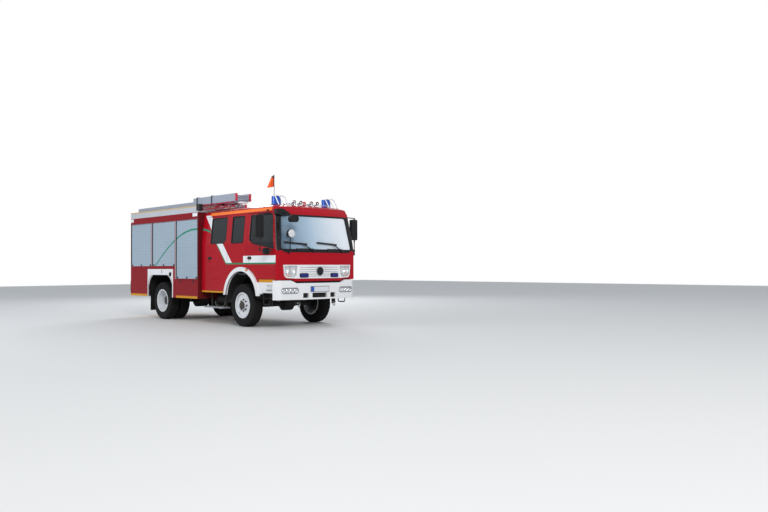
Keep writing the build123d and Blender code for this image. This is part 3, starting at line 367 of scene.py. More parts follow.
def mirrored(patch):
    """The patch on the other side of the vehicle."""
    return patch[0] * (-1, 1, 1), patch[1][:, ::-1]


def both_sides(patches):
    """The patches and their mirror images."""
    return patches + [mirrored(patch) for patch in patches]


def ring_of(patch, centre, count, phase=0.0):
    """Copies of a patch turned about an axis along X through centre."""
    points, quads = patch
    angle = 2 * np.pi * (np.arange(count) + phase) / count
    cos, sin = np.cos(angle)[:, None], np.sin(angle)[:, None]
    offset = points - np.asarray(centre, float)
    turned_points = np.stack([
        np.broadcast_to(offset[:, 0], (count, len(points))),
        cos * offset[:, 1] - sin * offset[:, 2],
        sin * offset[:, 1] + cos * offset[:, 2],
    ], -1) + np.asarray(centre, float)
    starts = len(points) * np.arange(count)[:, None, None]
    return turned_points.reshape(-1, 3), (quads + starts).reshape(-1, 4)


def bolt(centre, axis, radius, height):
    """Hexagon head with a bevelled top."""
    profile = [(0, 0), (0, radius), (height * 0.75, radius), (height, radius * 0.85), (height, 0)]
    return turned(profile, centre, axis, 6)


def curved(corners, radius, closed=False, steps=5):
    """Path through corners, each rounded by (1-t)^2 a + 2t(1-t) corner + t^2 b."""
    corners = np.asarray(corners, float)
    back = np.roll(corners, 1, 0) - corners
    ahead = np.roll(corners, -1, 0) - corners
    back_length = np.linalg.norm(back, axis=1, keepdims=True)
    ahead_length = np.linalg.norm(ahead, axis=1, keepdims=True)
    reach = np.minimum(radius, np.minimum(back_length, ahead_length) * 0.49)
    start = (corners + back / back_length * reach)[:, None]
    end = (corners + ahead / ahead_length * reach)[:, None]
    t = np.linspace(0, 1, steps)[None, :, None]
    rounded = (1 - t)**2 * start + 2 * t * (1 - t) * corners[:, None] + t**2 * end
    if closed:
        return rounded.reshape(-1, corners.shape[1])
    inner = rounded[1:-1].reshape(-1, corners.shape[1])
    return np.vstack([corners[:1], inner, corners[-1:]])


def carried(path, profile, outward, closed=False):
    """Profile carried along a path: path(s) + u side(s) + v up(s), with up nearest to outward.

    profile rows are (u, v); an open path is closed by a cap at each end.
    """
    path = np.asarray(path, float)
    profile = np.asarray(profile, float)
    ahead = np.roll(path, -1, 0) - path
    back = path - np.roll(path, 1, 0)
    if not closed:
        ahead[-1] = back[-1]
        back[0] = ahead[0]
    ahead /= np.linalg.norm(ahead, axis=1, keepdims=True)
    back /= np.linalg.norm(back, axis=1, keepdims=True)
    tangent = ahead + back
    tangent /= np.linalg.norm(tangent, axis=1, keepdims=True)
    side = np.cross(tangent, np.broadcast_to(np.asarray(outward, float), path.shape))
    side /= np.linalg.norm(side, axis=1, keepdims=True)
    up = np.cross(side, tangent)
    turning = np.sum(back * tangent, 1)[:, None, None]
    widen = 1 / np.clip(turning, 0.5, 1)
    points = path[:, None] + profile[:, :1] * side[:, None] * widen + profile[:, 1:] * up[:, None]
    if closed:
        return grid_patch(points, round_rows=True, round_columns=True)
    middles = [np.broadcast_to(row.mean(0), row.shape) for row in (points[0], points[-1])]
    points = np.concatenate([middles[0][None], points, middles[1][None]])
    return grid_patch(points, round_columns=True)


def circle(radius, sides=10):
    """Points on a circle: radius (cos t, sin t)."""
    angle = 2 * np.pi * np.arange(sides) / sides
    return np.stack([radius * np.cos(angle), radius * np.sin(angle)], -1)


def tube(corners, radius, outward=(0, 0, 1), bend=0.03, sides=10, closed=False):
    """Round bar through corners with rounded bends."""
    return carried(curved(corners, bend, closed), circle(radius, sides), outward, closed)


def rectangle(width, height, radius, steps=4):
    """Outline of a rectangle with rounded corners, about its middle."""
    corners = np.array([(-1, -1), (1, -1), (1, 1), (-1, 1)]) * (width / 2, height / 2)
    return curved(corners, radius, True, steps)


def flat(half, low, high):
    """Section of a flat strip: its half width, then its under and upper face."""
    return [(-half, low), (half, low), (half, high), (-half, high)]


def plate(outline, place, facing, depth, chamfer=0.002):
    """Upright plate: outline (u, v) about place, u along up x facing, front at depth, edges chamfered."""
    outline = np.asarray(outline, float)
    facing = np.asarray(facing, float)
    up = np.array([0.0, 0.0, 1.0])
    across = np.cross(up, facing)
    step = np.roll(outline, -1, 0) - np.roll(outline, 1, 0)
    step /= np.linalg.norm(step, axis=1, keepdims=True) + 1e-12
    inwards = np.stack([-step[:, 1], step[:, 0]], -1)
    middle = outline.mean(0)
    to_middle = np.sum(inwards * (middle - outline), 1)
    inwards *= np.where(to_middle.mean() < 0, -1, 1)
    small = outline + inwards * chamfer
    centre = np.broadcast_to(middle, outline.shape)
    rows = [
        (centre, depth), (small, depth), (outline, depth - chamfer), (outline, chamfer), (small, 0),
        (centre, 0),
    ]
    points = [
        np.asarray(place, float) + row[:, :1] * across + row[:, 1:] * up + distance * facing
        for row, distance in rows
    ]
    return grid_patch(np.array(points), round_columns=True)


def rounded_block(low, high, radius, steps=4):
    """Box with rounded edges: middle + sign(d) (half - radius) + radius d, d over a sphere's directions."""
    low, high = np.asarray(low, float), np.asarray(high, float)
    half = (high - low) / 2
    radius = min(radius, half.min() * 0.98)
    quarter = np.linspace(0, np.pi / 2, steps)
    turn_angle = np.concatenate([quarter + k * np.pi / 2 for k in range(4)])
    turn_sign = np.repeat([(1, 1), (-1, 1), (-1, -1), (1, -1)], steps, 0)
    rise = np.concatenate([quarter - np.pi / 2, quarter])
    rise_sign = np.repeat([-1, 1], steps)
    direction = np.stack([
        np.cos(rise)[:, None] * np.cos(turn_angle),
        np.cos(rise)[:, None] * np.sin(turn_angle),
        np.broadcast_to(np.sin(rise)[:, None], (len(rise), len(turn_angle))),
    ], -1)
    corner = np.concatenate([
        np.broadcast_to(turn_sign, (len(rise), len(turn_angle), 2)),
        np.broadcast_to(rise_sign[:, None, None], (len(rise), len(turn_angle), 1)),
    ], -1)
    points = (low + high) / 2 + corner * (half - radius) + radius * direction
    ends = [np.broadcast_to(row.mean(0), row.shape)[None] for row in (points[0], points[-1])]
    return grid_patch(np.concatenate([ends[0], points, ends[1]]), round_columns=True)


def piece(name, patches, body, material, smooth_angle=35):
    """One piece that rides on a body, in the material given."""
    made = mesh_object(name, patches, material, smooth_angle)
    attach(made, body)
    return made


def fixed(name, patches, material):
    """A piece that is fixed to the chassis, the cab or the equipment body."""
    return piece(name, patches, "chassis", material)


def right_and_left(name, patches, body, material):
    """A piece on the right one of two like bodies, and its mirror image on the left one."""
    for side_name, parts in (("right", patches), ("left", [mirrored(part) for part in patches])):
        piece(f"{name}_{side_name}", parts, f"{body}_{side_name}", material)


frame_steel = surface("zinc_steel", (0.22, 0.22, 0.22), 0.42, metallic=0.8, film=0.4)
bolt_y = np.arange(front_axle + 1.9, front_axle + 5.5, 0.22)
shifts = np.stack(np.meshgrid([0.0], bolt_y, [0.80, 0.94], indexing="ij"), -1)
rail_bolts = copies(bolt((-0.430, 0, 0), (-1, 0, 0), 0.013, 0.011), shifts)
fixed("rail_bolts", both_sides([rail_bolts]), frame_steel)

air_pipes = [
    tube([(-0.36, front_axle + along, z) for along in (-1.1, 1.6, 5.3)], 0.008)
    for z in (0.960, 0.938, 0.916)
]
fixed("air_pipes", air_pipes, chassis_black)

strap_loop = curved([(0.440, 0, 0.936), (0.765, 0, 0.944), (0.765, 0, 0.476), (0.440, 0, 0.476)], 0.085, True)
tank_strap = carried(strap_loop, flat(0.022, 0, 0.004), (0, 1, 0), True)
tank_straps = copies(tank_strap, [(0, front_axle + along, 0) for along in (1.15, 1.62)])
tank_cap = turned([(0, 0), (0, 0.045), (0.03, 0.045), (0.036, 0.038), (0.036, 0)],
                  (0.700, front_axle + 1.38, 0.934), (0.45, 0, 1), 24)
fixed("fuel_tank_straps", [tank_straps, tank_cap], frame_steel)


# Axles and springs
# Live axles on leaf packs, held down by U-bolts. The leaf ends hang on shackles at the rails.

axle_black = surface("axle_black", (0.011, 0.011, 0.012), 0.65, film=0.15, grain=(90, 0.0008),
                     Specular_IOR_Level=0.25)
dress(axle_black, "front_axle", "rear_axle", "knuckle_right", "knuckle_left")

axle_height = 0.505
spring_x = 0.392
spring_top = 0.631
u_bolt = tube([(-0.047, 0, 0.430), (-0.047, 0, spring_top), (0.047, 0, spring_top), (0.047, 0, 0.430)],
              0.008, (0, 1, 0), 0.02)
clip_corners = [(-0.044, 0, -0.036), (0.044, 0, -0.036), (0.044, 0, 0.036), (-0.044, 0, 0.036)]
spring_clip = carried(curved(clip_corners, 0.01, True), flat(0.014, 0, 0.004), (0, 1, 0), True)
saddle = rounded_block((-0.055, -0.10, 0.628), (0.055, 0.10, 0.652), 0.006, 2)


def on_springs(patch, offsets, z=0.0):
    """The patch on all four springs, at each offset along them from the axle."""
    return copies(patch, [
        (side * spring_x, axle + along, z)
        for side in (-1, 1) for axle in (front_axle, rear_axle) for along in offsets
    ])


spring_fittings = [
    on_springs(u_bolt, (-0.075, 0.075)), on_springs(spring_clip, (-0.40, 0.40), spring_top),
    on_springs(saddle, (0,)),
]
fixed("spring_fittings", spring_fittings, frame_steel)

case_bolts = []
# columns: middle of the axle's case across, axle, radius of its ring of bolts, half the case's width
for case_x, axle, ring_radius, half_case in (
    (0.140, front_axle, 0.150, 0.120), (0.0, rear_axle, 0.180, 0.150),
):
    for side in (-1, 1):
        end = np.array([case_x + side * half_case, axle, axle_height])
        head = bolt(end + (0, 0, ring_radius), (side, 0, 0), 0.011, 0.010)
        case_bolts.append(ring_of(head, end, 12))
fixed("axle_case_bolts", case_bolts, frame_steel)


# Wheels
# Deep block tread on radial tyres, on pressed steel discs painted pale grey. Eight dark nuts hold each
# disc, and the dark hub stands through its middle. The rear wheels are twins on one hub.

def tyre_surface(x, axle_y):
    """Tyre: (x + s, axle_y + r cos t, axle_height + r sin t), with r(s, t) cut down where a groove runs.

    s goes across the tyre and t round it; every pitch of the tread has a shoulder block and an inner
    block on each side, half a pitch apart.
    """
    # columns: distance outwards from the tyre's middle, radius, on one half of the section
    half_section = np.array([
        (0.000, 0.505), (0.004, 0.505), (0.007, 0.505), (0.054, 0.505), (0.058, 0.505), (0.066, 0.505),
        (0.070, 0.505), (0.104, 0.5005), (0.1095, 0.498), (0.119, 0.489), (0.122, 0.478), (0.1290, 0.467),
        (0.1295, 0.460), (0.1330, 0.440), (0.1360, 0.436), (0.1365, 0.420), (0.1345, 0.416), (0.1368, 0.396),
        (0.1355, 0.372), (0.1370, 0.368), (0.1360, 0.360), (0.1320, 0.335), (0.1160, 0.306), (0.1130, 0.300),
        (0.1130, 0.287),
    ])
    across = np.concatenate([-half_section[:0:-1, 0], half_section[:, 0]])
    radius = np.concatenate([half_section[:0:-1, 1], half_section[:, 1]])
    pitches = 30
    fractions = np.array([0, .04, .30, .34, .40, .43, .46, .50, .54, .80, .84, .90, .93, .96])
    turn = ((np.arange(pitches)[:, None] + fractions) / pitches).ravel() * 2 * np.pi
    phase = np.tile(fractions, pitches)
    s = across[:, None]
    away = np.abs(s)
    low_side = np.isin(phase, (.04, .30))
    high_side = np.isin(phase, (.54, .80))
    shoulder = (away > 0.068) & (away < 0.121) & np.where(s < 0, low_side, high_side)
    inner = (away > 0.006) & (away < 0.055) & np.where(s < 0, phase == .93, phase == .43)
    round_groove = (away < 0.002) | ((away > 0.057) & (away < 0.067)) | (phase < 0)
    depth = np.where(shoulder, 0.016, np.where(inner, 0.010, np.where(round_groove, 0.013, 0.0)))
    r = radius[:, None] - depth
    points = np.stack([
        np.broadcast_to(x + s, r.shape),
        axle_y + r * np.cos(turn),
        axle_height + r * np.sin(turn),
    ], -1)
    return grid_patch(points, round_columns=True)


rubber = surface("tyre_rubber", (0.006, 0.006, 0.007), 0.8, film=0.04, grain=(70, 0.0006),
                 Specular_IOR_Level=0.18)
rim_grey = surface("rim_grey", (0.70, 0.72, 0.75), 0.42, metallic=0.1, coat=0.2, film=0.12)
hub_dark = surface("hub_dark", (0.022, 0.022, 0.024), 0.45, metallic=0.4, film=0.4)
dress(rim_grey, "front_rim_right", "front_rim_left", "rear_rims_right", "rear_rims_left")

front_tyre_x = 1.012
twin_tyres_x = (1.050, 0.740)
front_disc_x = 1.097
# profiles about the wheel's axle; columns: distance along it, radius
hub_profile = np.array([(-0.02, 0.089), (0.0, 0.089), (0.012, 0.086), (0.016, 0.074), (0.016, 0.050),
                        (0.024, 0.046), (0.024, 0.0)])
nut_profile = [(-0.030, 0), (-0.030, 0.0168), (0.004, 0.0165), (0.006, 0.024), (0.009, 0.024),
               (0.009, 0.0145), (0.030, 0.0145), (0.034, 0.011), (0.034, 0)]
lip_profile = [(0.118, 0.288), (0.121, 0.300), (0.126, 0.3045), (0.1285, 0.300), (0.1275, 0.292),
               (0.122, 0.284), (0.112, 0.2765)]
dish_profile = [(0.0, 0.200), (0.007, 0.212), (0.009, 0.232), (0.004, 0.252), (0.002, 0.2765)]
for side_name, side in (("right", -1), ("left", 1)):
    outwards = (side, 0, 0)
    front_wheel, rear_wheels = f"front_wheel_{side_name}", f"rear_wheels_{side_name}"
    tyre = piece(f"front_tread_{side_name}", [tyre_surface(side * front_tyre_x, front_axle)], front_wheel,
                 rubber, 30)
    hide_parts(f"front_tyre_{side_name}")
    twins = [tyre_surface(side * tyre_x, rear_axle) for tyre_x in twin_tyres_x]
    tyre = piece(f"rear_tread_{side_name}", twins, rear_wheels, rubber, 30)
    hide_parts(f"rear_tyres_{side_name}")

    # columns: body, axle, face of the disc, end of the hub, radius of the hub
    for body, axle, face, hub_end, hub_radius in (
        ("front_wheel", front_axle, front_disc_x, 1.155, 0.088),
        ("rear_wheels", rear_axle, 0.910, 1.045, 0.120),
    ):
        centre = np.array([side * face, axle, axle_height])
        nut = turned(nut_profile, centre + (0, 0, 0.132), outwards, 12)
        cap = turned(hub_profile * (1, hub_radius / 0.088), (side * hub_end, axle, axle_height), outwards, 40)
        cap_bolt = bolt((side * (hub_end + 0.016), axle, axle_height + hub_radius * 0.7), outwards,
                        0.007, 0.006)
        parts = [ring_of(nut, centre, 8, 2), cap, ring_of(cap_bolt, centre, 6)]
        piece(f"{body}_hub_{side_name}", parts, f"{body}_{side_name}", hub_dark)
    lip = turned(lip_profile, (side * front_tyre_x, front_axle, axle_height), outwards, 96)
    dish = turned(dish_profile, (side * front_disc_x, front_axle, axle_height), outwards, 96)
    piece(f"front_rim_pressing_{side_name}", [lip, dish], front_wheel, rim_grey)
    lip = turned(lip_profile, (side * twin_tyres_x[0], rear_axle, axle_height), outwards, 96)
    piece(f"rear_rim_lip_{side_name}", [lip], rear_wheels, rim_grey)
    valve = tube([(side * 1.104, front_axle, axle_height + 0.262),
                  (side * 1.122, front_axle, axle_height + 0.252)], 0.007, (0, 1, 0))
    valves = ring_of(valve, (side * 1.104, front_axle, axle_height), 2, 0.25)
    piece(f"front_valve_{side_name}", [valves], front_wheel, hub_dark)


# Cab shell
# Welded steel cab, painted signal red, with white and green stripes and retroreflective strips stuck on.
# Inside it is lined with grey trim. Rubber seals frame its windows.

signal_red = (0.40, 0.001, 0.010)
stripe_white = (0.80, 0.82, 0.84)
stripe_green = (0.010, 0.23, 0.11)
curve_green = (0.006, 0.25, 0.16)
strip_orange = (0.95, 0.20, 0.025)
strip_yellow = (0.62, 0.27, 0.010)
trim_grey = (0.10, 0.10, 0.105)
green_curve = {"A": 2.3684, "B": 0.00118, "C": -0.26384, "D": 0.02951, "Half width": 0.024}


def strip(colour, first, last, **limits):
    """Layer: a box of colour between two stations behind the front axle; limits: low_x, low_z, high_z."""
    edges = {name.replace("_", " ").title(): value for name, value in limits.items()}
    return "box", {"Low Y": front_axle + first, "High Y": front_axle + last, **edges}, colour


cab_layers = [
    ("slant", {"Y": front_axle + 1.145, "Z": 2.164, "Angle": radians(48.9), "Half width": 0.0995,
               "Low Z": 1.49, "High Z": 2.70}, stripe_white),
    strip(stripe_white, -1.345, -0.05, low_z=1.50, high_z=1.665),
    ("slant", {"Y": front_axle + 0.751, "Z": 1.544, "Angle": radians(48.7), "Half width": 0.014,
               "Low Z": 1.468, "High Z": 1.985}, stripe_green),
    strip(stripe_green, -1.345, 0.69, low_z=1.468, high_z=1.503),
    ("curve", {**green_curve, "Low Y": front_axle + 1.43, "High Y": front_axle + 1.83}, curve_green),
    strip(strip_yellow, 0.76, 1.82, high_z=0.822),
    strip(strip_yellow, -1.30, -0.70, high_z=1.119),
    strip(strip_orange, -1.10, 1.53, low_x=1.0, low_z=2.684, high_z=2.756),
    ("inner", {"Middle": (0, front_axle + 0.2, 1.95)}, trim_grey),
]
cab_paint = {"coat": 0.22, "film": 0.03, "grain": (700, 0.00003), "Specular_IOR_Level": 0.12}
cab_red = surface("cab_red", signal_red, 0.34, layers=cab_layers, **cab_paint)
# the leaning front face is black round the screen
pillar_black = ("slant", {"Y": front_axle - 1.415, "Z": 1.770, "Angle": radians(79.92), "Half width": 0.050,
                          "Low Z": 1.772, "High Z": 2.592}, (0.010, 0.010, 0.012))
front_red = surface("cab_front_red", signal_red, 0.34, layers=cab_layers + [pillar_black], **cab_paint)
dress(front_red, "cab_front")
dress(cab_red, "cab_sides", "cab_rear_wall", "cab_roof", "front_door_right", "front_door_left",
      "crew_door_right", "crew_door_left")
seal_rubber = surface("seal_rubber", (0.007, 0.007, 0.008), 0.6, film=0.06, Specular_IOR_Level=0.25)
black_plastic = surface("black_plastic", (0.008, 0.008, 0.010), 0.45, film=0.08, grain=(260, 0.0003),
                        Specular_IOR_Level=0.3)


def cab_half_width(z):
    """The cab draws in by 70 mm from the belt line up to the eaves."""
    return 1.150 - 0.070 * np.clip((z - 1.970) / 0.700, 0, 1)


def side_skin(outline, proud=0.0):
    """Points (station, z) laid on the cab's right side."""
    y, z = np.asarray(outline, float).T
    return np.stack([-cab_half_width(z) - proud, front_axle + y, z], -1)


def nose_skin(outline, proud=0.0):
    """Points (x, z) laid on the nose: bowed by 80 mm across, leaning back 160 mm above the sill."""
    x, z = np.asarray(outline, float).T
    half = cab_half_width(z)
    bow = (half**2 + 0.080**2) / (2 * 0.080)
    back = 0.160 * np.maximum(0, z - 1.770) / 0.900
    return np.stack([x, front_axle - 1.455 + back + bow - np.sqrt(bow**2 - x**2) - proud, z], -1)


seal_section = [(-0.013, -0.018), (0.013, -0.018), (0.013, -0.002), (0.009, 0.003), (-0.009, 0.003),
                (-0.013, -0.002)]
window_outlines = {
    "front_door": [(-0.300, 2.030), (-0.460, 1.946), (-1.285, 1.814), (-1.166, 2.555), (-1.140, 2.605),
                   (-0.300, 2.605)],
    "middle": [(-0.040, 1.975), (0.474, 1.975), (0.474, 2.605), (-0.040, 2.605)],
    "crew_door": [(0.800, 1.985), (1.410, 1.985), (1.410, 2.605), (0.718, 2.605), (0.718, 2.075)],
}
window_seals = {
    name: carried(side_skin(curved(corners, 0.03, True)), seal_section, (-1, 0, 0), True)
    for name, corners in window_outlines.items()
}
fixed("middle_window_seals", both_sides([window_seals["middle"]]), seal_rubber)

screen_corners = [(-1.045, 1.790), (1.045, 1.790), (0.954, 2.580), (-0.954, 2.580)]


def filled_in(path, longest):
    """Points added on a closed path, so that no step is longer than given and it can follow a bowed face."""
    ends = np.roll(path, -1, 0)
    counts = np.ceil(np.linalg.norm(ends - path, axis=1) / longest).astype(int)
    share = np.concatenate([np.arange(count) / count for count in counts])[:, None]
    return np.repeat(path, counts, 0) * (1 - share) + np.repeat(ends, counts, 0) * share


screen_path = nose_skin(filled_in(curved(screen_corners, 0.07, True, 7), 0.09))
screen_seal = carried(screen_path, [(-0.018, -0.012), (0.018, -0.012), (0.018, 0.002), (0.013, 0.006),
                                    (-0.013, 0.006), (-0.018, 0.002)], (0, -1, 0.1), True)
fixed("windscreen_seal", [screen_seal], seal_rubber)

gutter_line = side_skin([(-1.145, 2.668), (-0.60, 2.668), (0.60, 2.668), (1.815, 2.668)])
gutter_section = [(-0.007, -0.002), (0.007, -0.002), (0.007, 0.006), (0.003, 0.009), (-0.003, 0.009),
                  (-0.007, 0.006)]
roof_gutter = carried(gutter_line, gutter_section, (-1, 0, 0))
fixed("roof_gutters", both_sides([roof_gutter]), cab_red)

# windscreen wipers parked across the lower edge of the screen: cap of the pivot, arm, blade and cowl
pivot_cap = [(0, 0), (0, 0.024), (0.040, 0.020), (0.047, 0.012), (0.047, 0)]
wiper_parts = []
for pivot_x in (0.71, -0.18):
    arm = np.array([(0, 0), (-0.12, 0.050), (-0.24, 0.125), (-0.34, 0.172)]) + (pivot_x, 1.765)
    lift = np.array([0.034, 0.050, 0.050, 0.026])[:, None] * (0, -1, 0.18)
    # the blades are drawn thick, so that their black is part blade and part painted shadow beneath them
    blade = np.linspace((-0.16, 0.150), (-0.76, 0.192), 9) + (pivot_x, 1.768)
    cowl = np.linspace((0.02, 0.024), (-0.46, 0.024), 7) + (pivot_x, 1.764)
    wiper_parts += [
        turned(pivot_cap, nose_skin([(pivot_x, 1.755)])[0], (0, -1, 0.1), 20),
        carried(nose_skin(arm) + lift, rectangle(0.026, 0.012, 0.004), (0, -1, 0.18)),
        carried(nose_skin(blade, 0.016), rectangle(0.036, 0.026, 0.006), (0, -1, 0.18)),
        carried(nose_skin(cowl, 0.012), rectangle(0.070, 0.024, 0.010), (0, -1, 0.18)),
    ]
fixed("wipers", wiper_parts, black_plastic)
scuttle = carried(nose_skin(np.linspace((-0.98, 1.752), (0.98, 1.752), 25)),
                  [(-0.020, -0.002), (0.020, -0.002), (0.018, 0.006), (-0.018, 0.006)], (0, -1, 0))
fixed("scuttle_grille", [scuttle], black_plastic)


# Doors
# Pressed steel doors with recessed black pull handles, window seals and a step pressing low on the crew
# door. They hang on two knuckles at their leading edge.

# side windows: dark glass, nearly opaque, painted shade of the dark cab inside behind it
door_glass = plain("dark_glass_painted_shade", (0.016, 0.020, 0.024), 0.04, Alpha=0.90, Specular_IOR_Level=0.35)
screen_glass = surface("screen_glass", (0.46, 0.60, 0.72), 0.04, film=0.05, Alpha=0.86,
                       Specular_IOR_Level=0.4)
# painted reflection of the sky in the screen: slate blue on the right side of the cab, nearly white on the
# left; the darkest stop, at the right edge, is painted shade of the dark cab inside
tree = screen_glass.node_tree
x, y, z = object_place(tree)
object_coordinates = new_node(tree, "TexCoord").outputs["Object"]
painted_sky_noise = new_node(tree, "TexNoise", {"Scale": 1.6, "Detail": 3.0, "Vector": object_coordinates})
place = maths(tree, "MULTIPLY_ADD", painted_sky_noise.outputs[0], 0.34, maths(tree, "MULTIPLY_ADD", z, 0.10, x))
share = new_node(tree, "MapRange", {0: place, 1: -0.70, 2: 1.30}).outputs[0]
ramp = new_node(tree, "ValToRGB", {0: share})
# columns: share of the way across, colour
for spot, colour in (
    (0.0, (0.025, 0.045, 0.070)), (0.14, (0.23, 0.34, 0.45)), (0.45, (0.43, 0.57, 0.70)),
    (0.92, (0.88, 0.92, 0.98)),
):
    stop = ramp.color_ramp.elements.new(spot)
    stop.color = (*colour, 1)
ramp.color_ramp.elements.remove(ramp.color_ramp.elements[-1])
ramp.color_ramp.elements.remove(ramp.color_ramp.elements[0])
tree.links.new(ramp.outputs[0], next(n for n in tree.nodes if n.type == "GROUP").inputs["Colour"])
dress(door_glass, "middle_windows", "front_door_glass_right", "front_door_glass_left",
      "crew_door_glass_right", "crew_door_glass_left")
dress(screen_glass, "windscreen")

# columns: door, middle of the handle in (station, z)
for door, handle in (("front_door", (-0.316, 1.613)), ("crew_door", (1.440, 1.626))):
    centre = side_skin([handle])[0]
    cup = plate(rectangle(0.148, 0.074, 0.028), centre, (-1, 0, 0), 0.005)
    grip_path = side_skin(np.array([(-0.062, 0), (-0.046, 0), (0.046, 0), (0.062, 0)]) + handle)
    grip_path[:, 0] -= [0.002, 0.030, 0.030, 0.002]
    grip = carried(curved(grip_path, 0.012), rectangle(0.030, 0.016, 0.006), (-1, 0, 0))
    lock = turned([(0, 0), (0, 0.012), (0.008, 0.011), (0.009, 0)], centre + (0, 0.02, -0.070),
                  (-1, 0, 0), 16)
    fittings = [cup, grip, lock, window_seals[door]]
    right_and_left(f"{door}_fittings", fittings, f"{door}_body", black_plastic)

# pressed creases: front door level with the arch's top, crew door above and below its step pressing
crease = [(-0.010, -0.002), (0.010, -0.002), (0.003, 0.004), (-0.003, 0.004)]
crease_lines = {
    "front_door": [[(-1.310, 1.400), (-0.80, 1.455), (-0.230, 1.455)]],
    "crew_door": [
        [(0.79, 1.370), (1.1, 1.370), (1.43, 1.370)],
        [(0.86, 1.130), (1.1, 1.130), (1.43, 1.130)],
        [(1.06, 1.760), (1.2, 1.775), (1.43, 1.775)],
    ],
}
for door, lines in crease_lines.items():
    creases = [carried(side_skin(line), crease, (-1, 0, 0)) for line in lines]
    right_and_left(f"{door}_creases", creases, f"{door}_body", cab_red)

# inner sides: a lining panel with a release lever, an armrest and a window crank on the front doors, a
# grab bar on the crew doors
lining_grey = surface("door_lining", (0.170, 0.175, 0.185), 0.7, film=0.05, grain=(300, 0.0003))
inner_x = -1.105
lining_x = inner_x + 0.006
# columns: door, length of the panel, middle of the panel and of the lever along the vehicle
for door, length, panel_y, lever_y in (
    ("front_door", 0.450, front_axle - 0.485, front_axle - 0.630),
    ("crew_door", 0.700, front_axle + 1.095, front_axle + 1.330),
):
    lining = [plate(rectangle(length, 0.260, 0.035), (inner_x, panel_y, 1.635), (1, 0, 0), 0.006)]
    lever = rounded_block((lining_x + 0.006, lever_y - 0.045, 1.727),
                          (lining_x + 0.016, lever_y + 0.035, 1.743), 0.004, 2)
    controls = [
        plate(rectangle(0.120, 0.052, 0.020), (lining_x, lever_y, 1.735), (1, 0, 0), 0.004, 0.001), lever,
    ]
    if door == "front_door":
        armrest = rounded_block((inner_x, panel_y - 0.170, 1.650), (inner_x + 0.055, panel_y + 0.180, 1.698),
                                0.020)
        lining.append(armrest)
        crank_y = panel_y + 0.060
        crank_arm = rounded_block((lining_x + 0.011, crank_y - 0.010, 1.566),
                                  (lining_x + 0.019, crank_y + 0.100, 1.584), 0.004, 2)
        controls += [
            turned([(0, 0), (0, 0.024), (0.012, 0.020), (0.014, 0)], (lining_x, crank_y, 1.575),
                   (1, 0, 0), 20),
            crank_arm,
            turned([(0, 0), (0, 0.011), (0.026, 0.013), (0.030, 0)],
                   (lining_x + 0.017, crank_y + 0.090, 1.575), (1, 0, 0), 16),
        ]
    else:
        bar_x, bar_y = inner_x + 0.050, panel_y - 0.130
        grab_bar = [(inner_x, bar_y, 1.545), (bar_x, bar_y, 1.545), (bar_x, bar_y + 0.200, 1.720),
                    (inner_x, bar_y + 0.200, 1.720)]
        controls.append(tube(grab_bar, 0.011, (0, 1, 0.2)))
    right_and_left(f"{door}_lining", lining, f"{door}_body", lining_grey)
    right_and_left(f"{door}_controls", controls, f"{door}_body", black_plastic)


# Mirrors and search lamp
# Black plastic housings on tube arms. The glass faces backwards. The search lamp has a chromed reflector
# behind clear glass, on a post by the right screen pillar.

mirror_glass = plain("mirror_glass", (0.80, 0.83, 0.86), 0.05, metallic=1.0)
chrome = plain("chrome", (0.70, 0.71, 0.73), 0.12, metallic=1.0)
clear_lens = plain("clear_lens", (0.92, 0.94, 0.96), 0.04, Alpha=0.30, Specular_IOR_Level=0.8)
dress(black_plastic, "mirrors_right", "mirrors_left", "kerb_mirror")

# faces of the tall mirror and of the small one below it
mirror_x = -1.400
faces = [
    plate(rectangle(0.170, 0.450, 0.030), (mirror_x, front_axle - 1.036, 2.315), (0, 1, 0), 0.003),
    plate(rectangle(0.112, 0.118, 0.020), (-1.270, front_axle - 1.116, 1.755), (0, 1, 0), 0.003),
]
clamp_profile = [(-0.022, 0.013), (-0.022, 0.019), (0.022, 0.019), (0.022, 0.013)]
clamps = [
    turned(clamp_profile, (mirror_x, front_axle - 1.100, z), (0, 0, 1), 16) for z in (2.588, 2.030, 1.800)
]
back_y = front_axle - 1.108
back_ribs = [
    carried([(x, back_y, 2.10), (x, back_y, 2.53)], rectangle(0.010, 0.010, 0.003), (0, -1, 0))
    for x in (mirror_x - 0.075, mirror_x, mirror_x + 0.075)
]
right_and_left("mirror_faces", faces, "front_door_body", mirror_glass)
right_and_left("mirror_clamps", clamps + back_ribs, "front_door_body", black_plastic)

lamp_centre = (-0.860, front_axle - 1.560, 2.150)
bowl = turned([(-0.055, 0.0), (-0.050, 0.030), (-0.034, 0.058), (-0.006, 0.080), (0.000, 0.084),
               (0.006, 0.088), (0.000, 0.0925), (-0.030, 0.0925)], lamp_centre, (0, -1, 0), 40)
lamp_front = turned([(0.001, 0.083), (0.010, 0.060), (0.014, 0.030), (0.016, 0.0)], lamp_centre,
                    (0, -1, 0), 40)
bulb = turned([(-0.050, 0.010), (-0.020, 0.011), (-0.012, 0.007), (-0.010, 0)], lamp_centre, (0, -1, 0), 16)
fixed("search_lamp_bowl", [bowl, bulb], chrome)
lit_glass = plain("search_lamp_glass", (0.93, 0.95, 0.97), 0.08, Alpha=0.72)
fixed("search_lamp_glass", [lamp_front], lit_glass)
kerb_face = turned([(0, 0), (0, 0.062), (0.003, 0.060), (0.003, 0)], (-0.885, front_axle - 1.609, 2.470),
                   (0, 1, 0), 32)
fixed("kerb_mirror_face", [kerb_face], mirror_glass)


# Cab interior
# Grey moulded dashboard, rubber floor and cloth seats: two in front, and a bench for four against the
# rear wall. The seats are foam pads in fabric covers on steel bases.

